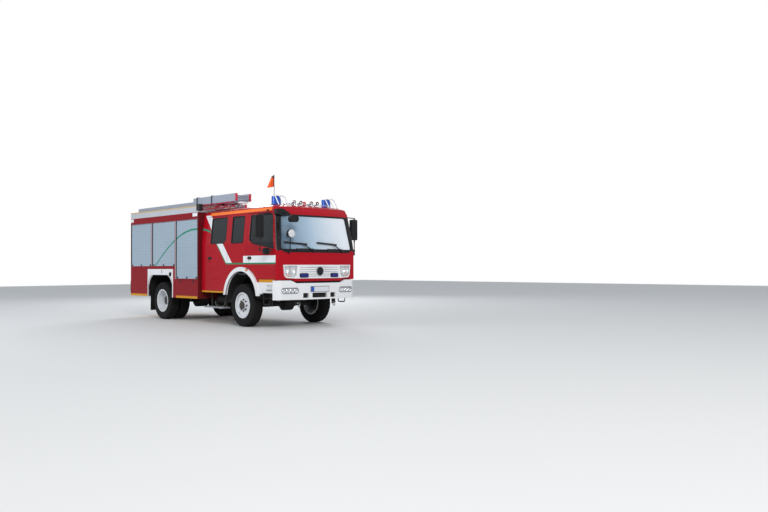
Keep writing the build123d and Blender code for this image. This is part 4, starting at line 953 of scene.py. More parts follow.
dash_grey = surface("dash_grey", (0.055, 0.056, 0.060), 0.6, film=0.1, grain=(300, 0.0003))
floor_rubber = surface("floor_rubber", (0.030, 0.030, 0.032), 0.7, film=0.4, grain=(120, 0.0006))
seat_fabric = surface("seat_fabric", (0.045, 0.050, 0.065), 0.85, film=0.05, grain=(500, 0.0006))
dress(dash_grey, "dashboard")
dress(floor_rubber, "cab_floor")


def stuffed(name, blocks):
    """Foam pads in their covers: blown up a little against their own cloth, then smoothed."""
    pad = mesh_object(name, blocks, seat_fabric, 60)
    remesh = pad.modifiers.new("remesh", "REMESH")
    remesh.mode = "VOXEL"
    remesh.voxel_size = 0.016
    bpy.context.view_layer.objects.active = pad
    bpy.ops.object.select_all(action="DESELECT")
    pad.select_set(True)
    bpy.ops.object.modifier_apply(modifier="remesh")
    rest = np.empty(len(pad.data.vertices) * 3)
    pad.data.vertices.foreach_get("co", rest)
    cloth = pad.modifiers.new("cloth", "CLOTH")
    cloth.settings.use_pressure = True
    cloth.settings.uniform_pressure_force = 4
    cloth.settings.effector_weights.gravity = 0
    cloth.point_cache.frame_start = 1
    cloth.point_cache.frame_end = 20
    for number in range(1, 21):
        bpy.context.scene.frame_set(number)
    blown = pad.evaluated_get(bpy.context.evaluated_depsgraph_get()).to_mesh()
    moved = np.empty(len(rest))
    blown.vertices.foreach_get("co", moved)
    pad.modifiers.remove(cloth)
    shift = (moved - rest).reshape(-1, 3)
    length = np.linalg.norm(shift, axis=1, keepdims=True)
    shift *= np.minimum(1, 0.012 / np.maximum(length, 1e-9))
    pad.data.vertices.foreach_set("co", (rest.reshape(-1, 3) + shift).ravel())
    pad.data.update()
    smooth = pad.modifiers.new("smooth", "SUBSURF")
    smooth.levels = smooth.render_levels = 1
    bpy.ops.object.modifier_apply(modifier="smooth")
    pad.data.shade_smooth()
    bpy.context.scene.frame_set(1)
    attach(pad, "chassis")
    return pad


def leaned(patch, foot_y, foot_z, degrees):
    """The patch turned back about a line across the cab."""
    points, quads = patch
    angle = radians(degrees)
    y, z = points[:, 1] - foot_y, points[:, 2] - foot_z
    return np.stack([
        points[:, 0],
        foot_y + y * np.cos(angle) + z * np.sin(angle),
        foot_z - y * np.sin(angle) + z * np.cos(angle),
    ], -1), quads


seat_bases = []
# columns: name, middle of the seat across, its back edge, width, places
for name, seat_x, seat_y, width, places in (
    ("driver_seat", 0.620, 0.040, 0.520, 1), ("officer_seat", -0.650, 0.040, 0.520, 1),
    ("crew_bench", 0.0, 1.660, 1.900, 4),
):
    back_y = front_axle + seat_y
    place_width = width / places
    half = place_width / 2 - 0.012
    pads = []
    for number in range(places):
        middle = seat_x - width / 2 + (number + 0.5) * place_width
        low_x, high_x = middle - half, middle + half
        cushion = rounded_block((low_x, back_y - 0.470, 1.570), (high_x, back_y - 0.02, 1.684), 0.045)
        back = rounded_block((low_x, back_y - 0.125, 1.680), (high_x, back_y - 0.030, 2.235), 0.042)
        head = rounded_block((middle - 0.12, back_y - 0.105, 2.262), (middle + 0.12, back_y - 0.045, 2.420),
                             0.028)
        pads += [cushion, leaned(back, back_y - 0.1, 1.66, 8), leaned(head, back_y - 0.1, 1.66, 8)]
    seat_pads = stuffed(name, pads)
    seat_bases.append(rounded_block((seat_x - width / 2 + 0.06, back_y - 0.42, 1.262),
                                    (seat_x + width / 2 - 0.06, back_y - 0.06, 1.562), 0.012, 2))
    if name == "crew_bench":
        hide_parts("seats")
fixed("seat_bases", seat_bases, dash_grey)

cluster = rounded_block((0.43, front_axle - 1.19, 1.735), (0.81, front_axle - 1.03, 1.762), 0.010, 3)
gauge_profile = [(0, 0), (0, 0.045), (0.006, 0.045), (0.007, 0.040), (0.007, 0)]
gauges = [
    turned(gauge_profile, (x, front_axle - 1.020, 1.700), (0, 1, 0.3), 24) for x in (0.52, 0.64, 0.76)
]
gear_lever = tube([(0.300, front_axle - 0.78, 1.438), (0.305, front_axle - 0.82, 1.660)], 0.012, (0, 1, 0))
gear_knob = rounded_block((0.28, front_axle - 0.845, 1.650), (0.33, front_axle - 0.795, 1.715), 0.022)
radio = rounded_block((-0.16, front_axle - 1.02, 1.60), (0.10, front_axle - 0.995, 1.68), 0.008, 3)
fixed("dashboard_details", [cluster, *gauges, gear_lever, gear_knob, radio], black_plastic)


# Nose
# A white plastic panel carries the headlamps, two blue flashers and a bare black disc. Narrow grey slits
# run across it. The red strip below it has a seam in the middle.

panel_white = surface("panel_white", (0.80, 0.81, 0.83), 0.36, coat=0.4, film=0.22, grain=(500, 0.00004))
slat_grey = surface("slat_grey", (0.27, 0.28, 0.31), 0.5, film=0.1)
# the flashers in the nose are darker than the beacons
blue_lens = surface("blue_lens", (0.012, 0.115, 0.62), 0.10, coat=0.5, film=0.05, layers=[
    ("box", {"High Z": 1.30}, (0.004, 0.012, 0.17)),
])
dress(panel_white, "grille_panel", "bumper", "front_arches")
dress(blue_lens, "blue_lamps")

slits = []
slit_section = [(-0.006, -0.003), (0.006, -0.003), (0.005, 0.0015), (-0.005, 0.0015)]
# columns: height, half the length
for slit_z, half in ((1.190, 0.300), (1.235, 0.300), (1.290, 0.560), (1.340, 0.560), (1.390, 0.560)):
    line = nose_skin(np.linspace((-half, slit_z), (half, slit_z), 21), 0.0225)
    slits.append(carried(line, slit_section, (0, -1, 0)))
fixed("grille_slits", slits, slat_grey)

disc_place = (0, front_axle - 1.477, 1.305)
disc = turned([(0, 0), (0, 0.094), (0.012, 0.094), (0.016, 0.088), (0.019, 0.050), (0.020, 0)],
              disc_place, (0, -1, 0), 48)
fixed("bare_disc", [disc], black_plastic)
disc_ring = turned([(-0.002, 0.094), (0.012, 0.094), (0.018, 0.097), (0.018, 0.101), (0.010, 0.104),
                    (-0.002, 0.104)], disc_place, (0, -1, 0), 48)
fixed("disc_ring", [disc_ring], chrome)

frames = []
frame_section = [(-0.008, -0.006), (0.008, -0.006), (0.007, 0.010), (-0.006, 0.012)]
for flasher_x in (-0.445, 0.445):
    low_x, high_x = flasher_x - 0.113, flasher_x + 0.113
    loop = curved([(low_x, 1.167), (high_x, 1.167), (high_x, 1.253), (low_x, 1.253)], 0.022, True)
    frames.append(carried(nose_skin(loop, 0.026), frame_section, (0, -1, 0), True))
fixed("flasher_frames", frames, black_plastic)


def nose_slab(half_widths, heights, proud, depth):
    """Closed slab along the nose: rows of points at the given heights and half widths, front and back."""
    rows = [nose_skin(np.linspace((-half, z), (half, z), 25), proud) for half, z in zip(half_widths, heights)]
    rows += [row + (0, depth, 0) for row in rows[::-1]]
    points = np.array(rows)
    ends = [np.broadcast_to(points[:, end].mean(0), points[:, end].shape)[:, None] for end in (0, -1)]
    return grid_patch(np.concatenate([ends[0], points, ends[1]], 1), round_rows=True)


# red strip between the panel and the bumper, before a black panel that closes the gap; its black is partly
# painted shade of the gap
red_strip = nose_slab((0.690, 0.695, 0.745, 0.745), (1.076, 1.080, 1.118, 1.121), -0.001, 0.014)
fixed("nose_strip", [red_strip], cab_red)
gap_panel = nose_slab((0.98, 0.98), (0.985, 1.130), -0.040, 0.010)
fixed("nose_gap_panel", [gap_panel], seal_rubber)
seam_y = front_axle - 1.454
nose_seam = carried([(0, seam_y, 1.077), (0, seam_y, 1.120)], rectangle(0.012, 0.008, 0.001), (0, -1, 0))
fixed("nose_seam", [nose_seam], seal_rubber)

# headlamps: a grey tray, two round bowls and an indicator behind one clear cover
headlamp_outline = [(0.620, 1.438), (0.968, 1.438), (0.946, 1.216), (0.878, 1.172), (0.700, 1.164),
                    (0.640, 1.224)]
lamp_path = curved(headlamp_outline, 0.030, True)
lamp_middle = lamp_path.mean(0)


def lamp_rows(scales, prouds):
    """The headlamp's outline at several scales about its middle, each laid on the nose at its own depth."""
    rows = [
        nose_skin(lamp_middle + scale * (lamp_path - lamp_middle), proud)
        for scale, proud in zip(scales, prouds)
    ]
    return grid_patch(np.array(rows), round_columns=True)


tray_grey = surface("lamp_tray", (0.56, 0.57, 0.59), 0.35, metallic=0.3, film=0.05)
amber = plain("amber_lens", (0.90, 0.24, 0.015), 0.15, Coat_Weight=0.6)
tray = lamp_rows([0.965, 0.965, 0.93, 0.90, 0.0], [0.020, -0.030, -0.040, -0.043, -0.043])
cover = lamp_rows([0.985, 0.985, 0.96, 0.80, 0.50, 0.0], [0.014, 0.024, 0.029, 0.030, 0.030, 0.030])
rim_section = [(-0.009, -0.008), (0.009, -0.008), (0.009, 0.006), (-0.006, 0.008)]
rim = carried(nose_skin(lamp_path, 0.018), rim_section, (0, -1, 0), True)
bowls, bulbs = [], []
# columns: place across, height, radius of the reflector
for bowl_x, bowl_z, bowl_radius in ((0.735, 1.325, 0.082), (0.882, 1.330, 0.066), (0.770, 1.210, 0.026)):
    base = nose_skin([(bowl_x, bowl_z)], -0.040)[0]
    shape = np.array([(0.004, 0.0), (0.006, 0.25), (0.016, 0.55), (0.034, 0.86), (0.044, 0.97), (0.047, 1.0),
                      (0.046, 1.06), (0.002, 1.06)])
    bowls.append(turned(shape * (1, bowl_radius), base, (0, -1, 0), 36))
    bulbs.append(turned([(0.004, 0.012), (0.026, 0.012), (0.034, 0.007), (0.036, 0)], base, (0, -1, 0), 16))
front_lamps_tray = fixed("headlamp_trays", both_sides([tray]), tray_grey)
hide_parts("front_lamps")
fixed("headlamp_rims", both_sides([rim]), panel_white)
fixed("headlamp_bowls", both_sides(bowls), chrome)
bulb_glass = plain("bulb_glass", (0.9, 0.93, 0.98), 0.1)
fixed("headlamp_bulbs", both_sides(bulbs), bulb_glass)
indicator = plate(rectangle(0.105, 0.032, 0.012), nose_skin([(0.855, 1.215)], -0.018)[0], (0, -1, 0), 0.014)
fixed("headlamp_indicators", both_sides([indicator]), amber)
fixed("headlamp_covers", both_sides([cover]), clear_lens)


# Bumper
# White pressed steel with slots for air, a lamp cluster of four round lenses on each side, and a bare
# number plate with a blue end. Tow shackles hang below it.

def bumper_skin(outline, proud=0.0):
    """Points (x, z) laid on the bumper's front, bowed by 90 mm across."""
    x, z = np.asarray(outline, float).T
    bow = (1.165**2 + 0.090**2) / (2 * 0.090)
    return np.stack([x, front_axle - 1.485 + bow - np.sqrt(bow**2 - x**2) - proud, z], -1)


slot_path = curved([(0.600, 0.801), (1.030, 0.801), (1.030, 0.931), (0.600, 0.931)], 0.064, True, 9)
slot_middle = slot_path.mean(0)
slot_rows = [
    bumper_skin(slot_middle + scale * (slot_path - slot_middle), proud)
    for scale, proud in ((0.985, -0.004), (0.985, -0.030), (0.95, -0.034), (0.0, -0.034))
]
lamp_housing = grid_patch(np.array(slot_rows), round_columns=True)
slot_section = [(-0.007, -0.008), (0.007, -0.008), (0.006, 0.004), (-0.006, 0.004)]
slot_rim = carried(bumper_skin(slot_path, -0.002), slot_section, (0, -1, 0), True)
ring_profile = [(0, 0.046), (0.018, 0.046), (0.020, 0.043), (0.018, 0.040), (0.004, 0.030), (0.002, 0)]
lens_profile = [(0.014, 0.041), (0.020, 0.030), (0.024, 0.015), (0.025, 0)]
lens_places = bumper_skin([(lens_x, 0.866) for lens_x in (0.663, 0.765, 0.867, 0.969)], -0.030)
lamp_rings = [turned(ring_profile, place, (0, -1, 0), 28) for place in lens_places]
lamp_lenses = [turned(lens_profile, place, (0, -1, 0), 28) for place in lens_places]
fixed("bumper_lamp_housings", both_sides([lamp_housing]), tray_grey)
fixed("bumper_lamp_rims", both_sides([slot_rim]), slat_grey)
fixed("bumper_lamp_rings", both_sides(lamp_rings), chrome)
fixed("bumper_lamp_lenses", both_sides(lamp_lenses), clear_lens)

plate_white = surface("plate_white", (0.66, 0.69, 0.73), 0.4, film=0.1)
plate_blue = plain("plate_blue", (0.010, 0.085, 0.42), 0.35)


def blank_plate(place, facing, holder_size):
    """Number plate without a number: holder, white plate and blue end, each in front of the one before."""
    place = np.asarray(place, float)
    facing = np.asarray(facing, float)
    end_place = place + 0.2155 * np.cross(facing, (0, 0, 1)) + 0.009 * facing
    return (
        plate(rectangle(*holder_size, 0.008), place, facing, 0.006),
        plate(rectangle(0.520, 0.112, 0.006), place + 0.006 * facing, facing, 0.003, 0.001),
        plate(rectangle(0.085, 0.106, 0.003), end_place, facing, 0.001, 0.0003),
    )


holder, number_plate, blue_end = blank_plate((0, front_axle - 1.485, 0.893), (0, -1, 0), (0.544, 0.132))
fixed("plate_holder", [holder], black_plastic)
fixed("number_plate", [number_plate], plate_white)
fixed("plate_blue_end", [blue_end], plate_blue)

# dark air guides behind the slots, and a dark tread strip on the bumper's top
guides = []
for middle, width in ((-0.395, 0.176), (0.0, 0.451), (0.395, 0.176)):
    low = (middle - width / 2, front_axle - 1.425, 0.692)
    high = (middle + width / 2, front_axle - 1.405, 0.814)
    guides.append(rounded_block(low, high, 0.004, 2))
fixed("bumper_air_guides", guides, seal_rubber)
edge_line = [(x, 1.034) for x in np.linspace(-0.640, 0.640, 17)]
tread_strip = carried(bumper_skin(edge_line, -0.03), rectangle(0.050, 0.006, 0.002), (0, 0, 1))
fixed("bumper_step", [tread_strip], black_plastic)

# tow shackles: a bow, as rows of station and height, and the pin through its ends
bow_corners = ((-1.362, 0.590), (-1.392, 0.565), (-1.405, 0.515), (-1.362, 0.485), (-1.319, 0.515),
               (-1.332, 0.565))
pin_profile = [(-0.040, 0), (-0.040, 0.015), (0.040, 0.015), (0.040, 0)]
shackles = []
for hook_x in (-0.520, 0.520):
    bow_path = [(hook_x, front_axle + along, z) for along, z in bow_corners]
    shackles.append(tube(bow_path, 0.010, (1, 0, 0), 0.02, 10, True))
    shackles.append(turned(pin_profile, (hook_x, front_axle - 1.360, 0.580), (1, 0, 0), 12))
shackle_grey = surface("shackle_grey", (0.34, 0.35, 0.36), 0.4, metallic=0.5, film=0.2)
fixed("tow_shackles", shackles, shackle_grey)


# Front wheel arches and steps
# White plastic flares with a rubber lip. A grey step is let into the skirt ahead of the wheel, with a
# stirrup below it; the crew door has an aluminium step bar.

bare_aluminium = surface("bare_aluminium", (0.55, 0.56, 0.58), 0.38, metallic=0.85, film=0.3,
                         grain=(160, 0.0002))
step_bar = surface("step_bar", (0.36, 0.38, 0.42), 0.42, metallic=0.5, film=0.15, layers=[
    ("box", {"Low Z": 0.436}, (0.012, 0.012, 0.014)),
])
dress(step_bar, "crew_steps")


def arch_arc(x, radius, turn):
    """Arc round the front wheel: (x, front_axle + radius cos t, 0.660 + radius sin t)."""
    y, z = front_axle + radius * np.cos(turn), 0.660 + radius * np.sin(turn)
    return np.stack([np.full(len(turn), x), y, z], -1)


lip_turn = np.radians(np.linspace(7.4, 172.6, 49))
lip = carried(arch_arc(-1.196, 0.640, lip_turn), rectangle(0.012, 0.016, 0.004), (-1, 0, 0))
fixed("arch_lips", both_sides([lip]), seal_rubber)
liner_turn = np.radians(np.linspace(2, 178, 41))
liner_rows = [
    arch_arc(x, radius, liner_turn)
    for x, radius in ((-1.150, 0.641), (-1.150, 0.638), (-0.760, 0.620), (-0.760, 0.628), (-1.150, 0.646))
]
liner = grid_patch(np.array(liner_rows), round_rows=True)
fixed("wheel_housings", both_sides([liner]), chassis_black)

marker_y = front_axle - 0.265
marker = plate(rectangle(0.062, 0.044, 0.010), (-1.200, marker_y, 1.340), (-1, 0, 0), 0.016)
marker_base = plate(rectangle(0.082, 0.064, 0.012), (-1.197, marker_y, 1.340), (-1, 0, 0), 0.006)
fixed("arch_marker_lamps", both_sides([marker]), amber)
fixed("arch_marker_bases", both_sides([marker_base]), black_plastic)

step_tread = rounded_block((-1.196, front_axle - 1.232, 0.872), (-1.135, front_axle - 1.036, 0.888), 0.003, 2)
step_back = rounded_block((-1.128, front_axle - 1.236, 0.872), (-1.122, front_axle - 1.032, 0.996), 0.002, 2)
step_ribs = copies(rounded_block((-1.194, -0.088, 0.888), (-1.186, 0.088, 0.893), 0.002, 2),
                   [(along, front_axle - 1.134, 0) for along in (0, 0.014, 0.028, 0.042)])
fixed("skirt_steps", both_sides([step_tread, step_back, step_ribs]), slat_grey)
stirrup = tube([(-1.105, front_axle - 1.120, 0.830), (-1.105, front_axle - 1.065, 0.548),
                (-1.105, front_axle - 0.830, 0.548), (-1.105, front_axle - 0.800, 0.830)],
               0.011, (1, 0, 0))
stirrup_tread = rounded_block((-1.130, front_axle - 1.050, 0.552), (-1.080, front_axle - 0.845, 0.566),
                              0.004, 2)
fixed("stirrup_steps", both_sides([stirrup, stirrup_tread]), chassis_black)

bar_ribs = copies(rounded_block((-1.166, -0.003, 0.4315), (-0.974, 0.003, 0.436), 0.001, 2),
                  [(0, front_axle + y, 0) for y in np.arange(0.81, 1.69, 0.03)])
fixed("crew_step_treads", both_sides([bar_ribs]), bare_aluminium)


# Cab roof
# Two blue beacons behind white tube guards, four chromed air horns with a red lamp between them, a
# silver cross tube and a hatch.

guard_bars, beacon_bases, beacon_ribs = [], [], []
# ends of the guards' bars as (y, z), and profiles of a beacon's base, its top and one of its ribs
guard_top, guard_foot = (front_axle - 0.930, 3.046), (front_axle - 1.090, 2.822)
base_profile = [(0, 0.128), (0.026, 0.128), (0.034, 0.122), (0.036, 0.108), (0.030, 0.104), (0, 0.104)]
top_profile = [(0.203, 0.106), (0.214, 0.103), (0.219, 0.094), (0.2195, 0)]
rib_profile = [(0.036, 0), (0.036, 0.0035), (0.205, 0.0035), (0.207, 0)]
rib_ring = 0.1045
angle = np.radians(np.arange(0, 360, 15))
rib_shifts = np.stack([rib_ring * np.sin(angle), rib_ring * (np.cos(angle) - 1), 0 * angle], -1)
for beacon_x in (-0.740, 0.740):
    low_x, high_x = beacon_x - 0.130, beacon_x + 0.130
    hoop = [(low_x, *guard_foot), (low_x, *guard_top), (high_x, *guard_top), (high_x, *guard_foot)]
    guard_bars.append(tube(hoop, 0.0135, (0, -1, 0.4), 0.035))
    guard_bars.append(tube([(beacon_x, *guard_top), (beacon_x, *guard_foot)], 0.0125, (1, 0, 0)))
    foot = np.array([beacon_x, front_axle - 0.800, 2.820])
    beacon_bases.append(turned(base_profile, foot, (0, 0, 1), 48))
    rib = turned(rib_profile, foot + (0, rib_ring, 0), (0, 0, 1), 6)
    beacon_ribs.append(copies(rib, rib_shifts))
    beacon_ribs.append(turned(top_profile, foot, (0, 0, 1), 48))
guards = fixed("beacon_guards", guard_bars, panel_white)
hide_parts("horns_and_guards")
fixed("beacon_bases", beacon_bases, black_plastic)
fixed("beacon_ribs", beacon_ribs, blue_lens)

horn_parts = []
# columns: place across the roof, length
for horn_x, length in ((-0.380, 0.430), (-0.190, 0.360), (0.120, 0.430), (0.300, 0.360)):
    mouth_y = front_axle - 1.020
    horn_profile = [(0.160, 0), (0.160, 0.010), (0.060, 0.022), (0.022, 0.036), (0.004, 0.055),
                    (0.000, 0.0605), (0.003, 0.0620), (0.010, 0.056), (0.030, 0.041), (0.070, 0.028),
                    (0.150, 0.020), (length - 0.075, 0.016), (length - 0.075, 0.030),
                    (length - 0.070, 0.034), (length - 0.020, 0.034), (length - 0.012, 0.028),
                    (length - 0.012, 0)]
    horn_parts.append(turned(horn_profile, (horn_x, mouth_y, 2.895), (0, 1, 0), 36))
    for foot_y in (mouth_y + 0.090, mouth_y + length - 0.10):
        low, high = (horn_x - 0.016, foot_y, 2.822), (horn_x + 0.016, foot_y + 0.03, 2.878)
        horn_parts.append(rounded_block(low, high, 0.004, 2))
fixed("air_horns", horn_parts, chrome)
red_dome = turned([(0, 0.056), (0.050, 0.055), (0.082, 0.047), (0.102, 0.030), (0.110, 0)],
                  (-0.035, front_axle - 0.930, 2.842), (0, 0, 1), 36)
dome_base = turned([(0, 0), (0, 0.064), (0.022, 0.064), (0.026, 0.057), (0.026, 0)],
                   (-0.035, front_axle - 0.930, 2.820), (0, 0, 1), 36)
red_lens = plain("red_lens", (0.62, 0.010, 0.016), 0.10, Coat_Weight=0.6)
fixed("roof_red_lamp", [red_dome], red_lens)
cross_y = front_axle - 1.085
cross_tube = tube([(-0.560, cross_y, 2.822), (-0.560, cross_y, 2.862), (0.560, cross_y, 2.862),
                   (0.560, cross_y, 2.822)], 0.012, (0, -1, 0), 0.025)
fixed("roof_cross_tube", [cross_tube, dome_base], bare_aluminium)

hatch = rounded_block((-0.360, front_axle - 0.250, 2.822), (0.360, front_axle + 0.370, 2.862), 0.018)
fixed("roof_hatch", [hatch], cab_red)
front_edge, back_edge = front_axle - 0.275, front_axle + 0.395
hatch_corners = [(-0.385, front_edge, 2.826), (0.385, front_edge, 2.826), (0.385, back_edge, 2.826),
                 (-0.385, back_edge, 2.826)]
hatch_seal = carried(curved(hatch_corners, 0.03, True), rectangle(0.018, 0.012, 0.003), (0, 0, 1), True)
hatch_hinges = [
    rounded_block((x - 0.04, front_axle + 0.35, 2.824), (x + 0.04, front_axle + 0.415, 2.868), 0.006, 3)
    for x in (-0.2, 0.2)
]
fixed("hatch_fittings", [hatch_seal] + hatch_hinges, black_plastic)
roof_lamp = plate(rectangle(0.080, 0.034, 0.012), (-1.074, front_axle - 0.950, 2.694), (-1, 0, 0), 0.018)
fixed("roof_side_lamps", both_sides([roof_lamp]), black_plastic)

# pennant that hangs limp from the mast's top: place = mast + u across + folds that grow downwards
dress(black_plastic, "flag_mast")
pennant_width, pennant_drop = 0.30, 0.28
u, v = np.meshgrid(np.linspace(0, 1, 41), np.linspace(0, 1, 25), indexing="ij")
gather = 0.14 + 0.46 * v
fold = (0.032 - 0.010 * v) * np.sin(2 * np.pi * (2.2 * u + 0.15 * v)) * np.minimum(1, 4 * u)
pennant_place = np.stack([
    -0.470 - 0.008 - pennant_width * gather * u * 0.90,
    front_axle - 0.340 + pennant_width * gather * u * 0.20 + fold,
    3.596 - pennant_drop * v - 0.035 * u,
], -1)
pennant_cloth = surface("pennant_cloth", (0.85, 0.13, 0.022), 0.8, film=0.03, grain=(900, 0.0002), layers=[
    ("box", {"High X": 0.506}, (0.34, 0.012, 0.012)),
    ("box", {"Low Z": 3.530}, (0.05, 0.02, 0.02)),
])
pennant = piece("pennant", [grid_patch(pennant_place)], "chassis", pennant_cloth, 180)


# Equipment body
# Riveted and bonded aluminium body, painted red above the shutters and below them. Three roller shutters
# of anodised slats close each side and one the back; each slides in guide rails with black rubber.

# at the shutters' ends: light aluminium posts with a painted reflection of the red paint, and dark lines that
# are black rubber with painted shade of the recess
post_with_red_reflection = (0.50, 0.36, 0.38)
rubber_and_shade_line = (0.012, 0.012, 0.016)
locker_grey = (0.30, 0.31, 0.32)
body_layers = [
    strip(stripe_white, 1.850, 2.120, low_z=2.695, high_z=2.785),
    strip(stripe_white, 5.450, 5.625, low_z=2.695, high_z=2.785),
    strip(strip_yellow, 1.845, 2.970, high_z=0.668),
    strip(strip_yellow, 4.600, 5.625, high_z=0.668),
    strip(post_with_red_reflection, 1.845, 1.872, low_z=1.100, high_z=2.624),
    strip(post_with_red_reflection, 2.992, 3.034, low_z=1.100, high_z=2.624),
    strip(rubber_and_shade_line, 2.974, 2.992, low_z=1.100, high_z=2.624),
    strip(post_with_red_reflection, 4.328, 4.370, low_z=1.438, high_z=2.624),
    strip(rubber_and_shade_line, 4.310, 4.328, low_z=1.438, high_z=2.624),
    strip(rubber_and_shade_line, 5.600, 5.620, low_z=1.438, high_z=2.624),
    ("inner", {"Middle": (0, front_axle + 3.735, 1.80)}, locker_grey),
]
body_red = surface("body_red", (0.25, 0.003, 0.010), 0.40, coat=0.10, film=0.05, grain=(600, 0.00004),
                   layers=body_layers, Specular_IOR_Level=0.12)
# the body's front wall: a darker copy of the body's red, painted shade
shaded_wall_red = surface("shaded_wall_red", (0.11, 0.001, 0.004), 0.45, film=0.05, layers=body_layers[-1:],
                   Specular_IOR_Level=0.25)
dress(shaded_wall_red, "body_front_wall")
dress(body_red, "body_rear_wall", "body_sides", "body_deck", "body_floor", "locker_flap_right",
      "locker_flap_left")
green_band = ("curve", {**green_curve, "Low Y": front_axle + 1.86, "High Y": front_axle + 4.17}, curve_green)
shutter_blue = surface("shutter_blue", (0.36, 0.45, 0.53), 0.46, film=0.12, grain=(90, 0.00015),
                       layers=[green_band])
dress(shutter_blue, "roller_shutters")

# rubber guides down both ends of each shutter, a bar along its lower edge and three catches on the bar
guides, bars, catches = [], [], []
# columns: front end, rear end, lower edge
for first, last, low_z in ((1.870, 2.974, 1.108), (3.034, 4.310, 1.440), (4.370, 5.600, 1.440)):
    low_y, high_y, bar_z = front_axle + first, front_axle + last, low_z + 0.028
    for guide_y in (low_y + 0.006, high_y - 0.006):
        guides.append(carried([(-1.240, guide_y, low_z + 0.002), (-1.240, guide_y, 2.622)],
                              rectangle(0.012, 0.022, 0.003), (-1, 0, 0)))
    bars.append(carried([(-1.236, low_y + 0.012, bar_z), (-1.236, high_y - 0.012, bar_z)],
                        rectangle(0.050, 0.014, 0.004), (-1, 0, 0)))
    for catch_y in (low_y + 0.070, (low_y + high_y) / 2, high_y - 0.070):
        catches.append(rounded_block((-1.249, catch_y - 0.040, low_z + 0.006),
                                     (-1.226, catch_y + 0.040, low_z + 0.050), 0.008, 3))
fixed("shutter_guides", both_sides(guides), seal_rubber)
fixed("shutter_bars", both_sides(bars), shutter_blue)
fixed("shutter_catches", both_sides(catches), black_plastic)

# a row of rivets ahead of the rear wheels and behind them, and the rain gutter above the shutters
rivet = turned([(0, 0), (0, 0.006), (0.002, 0.004), (0.003, 0)], (-1.250, 0, 0), (-1, 0, 0), 8)
rivet_stations = [station for station in np.arange(1.90, 5.60, 0.12) if not 3.12 < station < 4.60]
rivet_rows = copies(rivet, [(0, front_axle + station, 1.400) for station in rivet_stations])
fixed("body_rivets", both_sides([rivet_rows]), body_red)
rain_gutter = carried([(-1.250, front_axle + 1.845, 2.634), (-1.250, front_axle + 5.625, 2.634)],
                      [(-0.006, -0.001), (0.006, -0.001), (0.006, 0.005), (-0.004, 0.012)], (-1, 0, 0))
fixed("rain_gutters", both_sides([rain_gutter]), body_red)

# two latches on each flap: a plate with a tab to turn
latches = []
for latch_y in (front_axle + 2.10, front_axle + 2.74):
    latches += [
        plate(rectangle(0.090, 0.050, 0.010), (-1.249, latch_y, 1.035), (-1, 0, 0), 0.004),
        rounded_block((-1.257, latch_y - 0.025, 1.024), (-1.252, latch_y + 0.025, 1.046), 0.002, 2),
    ]
right_and_left("flap_latches", latches, "flap_body", black_plastic)

# white panel round the rear wheels with the filler cap and a small slot
dress(panel_white, "rear_arches")


def arch_path(corners, radius, x):
    """Rounded line round the rear wheels: corners as (station, z), all at one place across."""
    along, z = curved(corners, radius, False, 13).T
    return np.stack([np.full(len(z), x), front_axle + along, z], -1)


lip_corners = [(3.192, 0.610), (3.192, 1.195), (4.528, 1.195), (4.528, 0.610)]
arch_lip = carried(arch_path(lip_corners, 0.330, -1.243), rectangle(0.014, 0.020, 0.004), (-1, 0, 0))
filler = turned([(0, 0), (0, 0.058), (0.006, 0.058), (0.010, 0.050), (0.018, 0.046), (0.020, 0.040),
                 (0.020, 0)], (-1.250, front_axle + 3.285, 1.225), (-1, 0, 0), 32)
panel_slot = plate(rectangle(0.024, 0.088, 0.006), (-1.250, front_axle + 3.760, 1.290), (-1, 0, 0), 0.003)
fixed("rear_arch_fittings", both_sides([arch_lip, filler, panel_slot]), seal_rubber)
housing_corners = [(3.150, 0.62), (3.150, 1.215), (4.570, 1.215), (4.570, 0.62)]
rear_housing = grid_patch(np.array([arch_path(housing_corners, 0.350, x) for x in (-1.225, -0.560)]))
fixed("rear_wheel_housings", both_sides([rear_housing]), chassis_black)


# Roof gallery
# A low silver wall round the roof with a beige capping strip; black plastic closes its front corners.

capping_beige = (0.62, 0.46, 0.24)
gallery_layers = [
    ("box", {"Low Z": 2.936}, capping_beige),
    ("box", {"Low X": 1.155, "High Y": front_axle + 1.932, "Low Z": 2.828}, (0.014, 0.014, 0.016)),
]
gallery_silver = surface("gallery_silver", (0.54, 0.56, 0.60), 0.42, metallic=0.15, film=0.08,
                         grain=(120, 0.0002), layers=gallery_layers)
dress(gallery_silver, "roof_gallery")
gallery_posts = copies(rounded_block((-1.252, -0.012, 2.800), (-1.246, 0.012, 2.934), 0.002, 2),
                       [(0, front_axle + y, 0) for y in np.arange(2.20, 5.60, 0.48)])
capping = carried([(-1.236, front_axle + 1.935, 2.957), (-1.236, front_axle + 5.626, 2.957)],
                  flat(0.020, -0.002, 0.012), (0, 0, 1))
beige = surface("beige_capping", capping_beige, 0.5, film=0.15)
fixed("gallery_ribs", both_sides([gallery_posts]), gallery_silver)
fixed("gallery_capping", both_sides([capping]), beige)
deck_plates = copies(rounded_block((0.72, -0.28, 2.815), (1.18, 0.28, 2.820), 0.002, 2),
                     [(0, front_axle + y, 0) for y in (2.3, 2.95, 3.45)])
fixed("roof_deck_plates", [deck_plates], bare_aluminium)

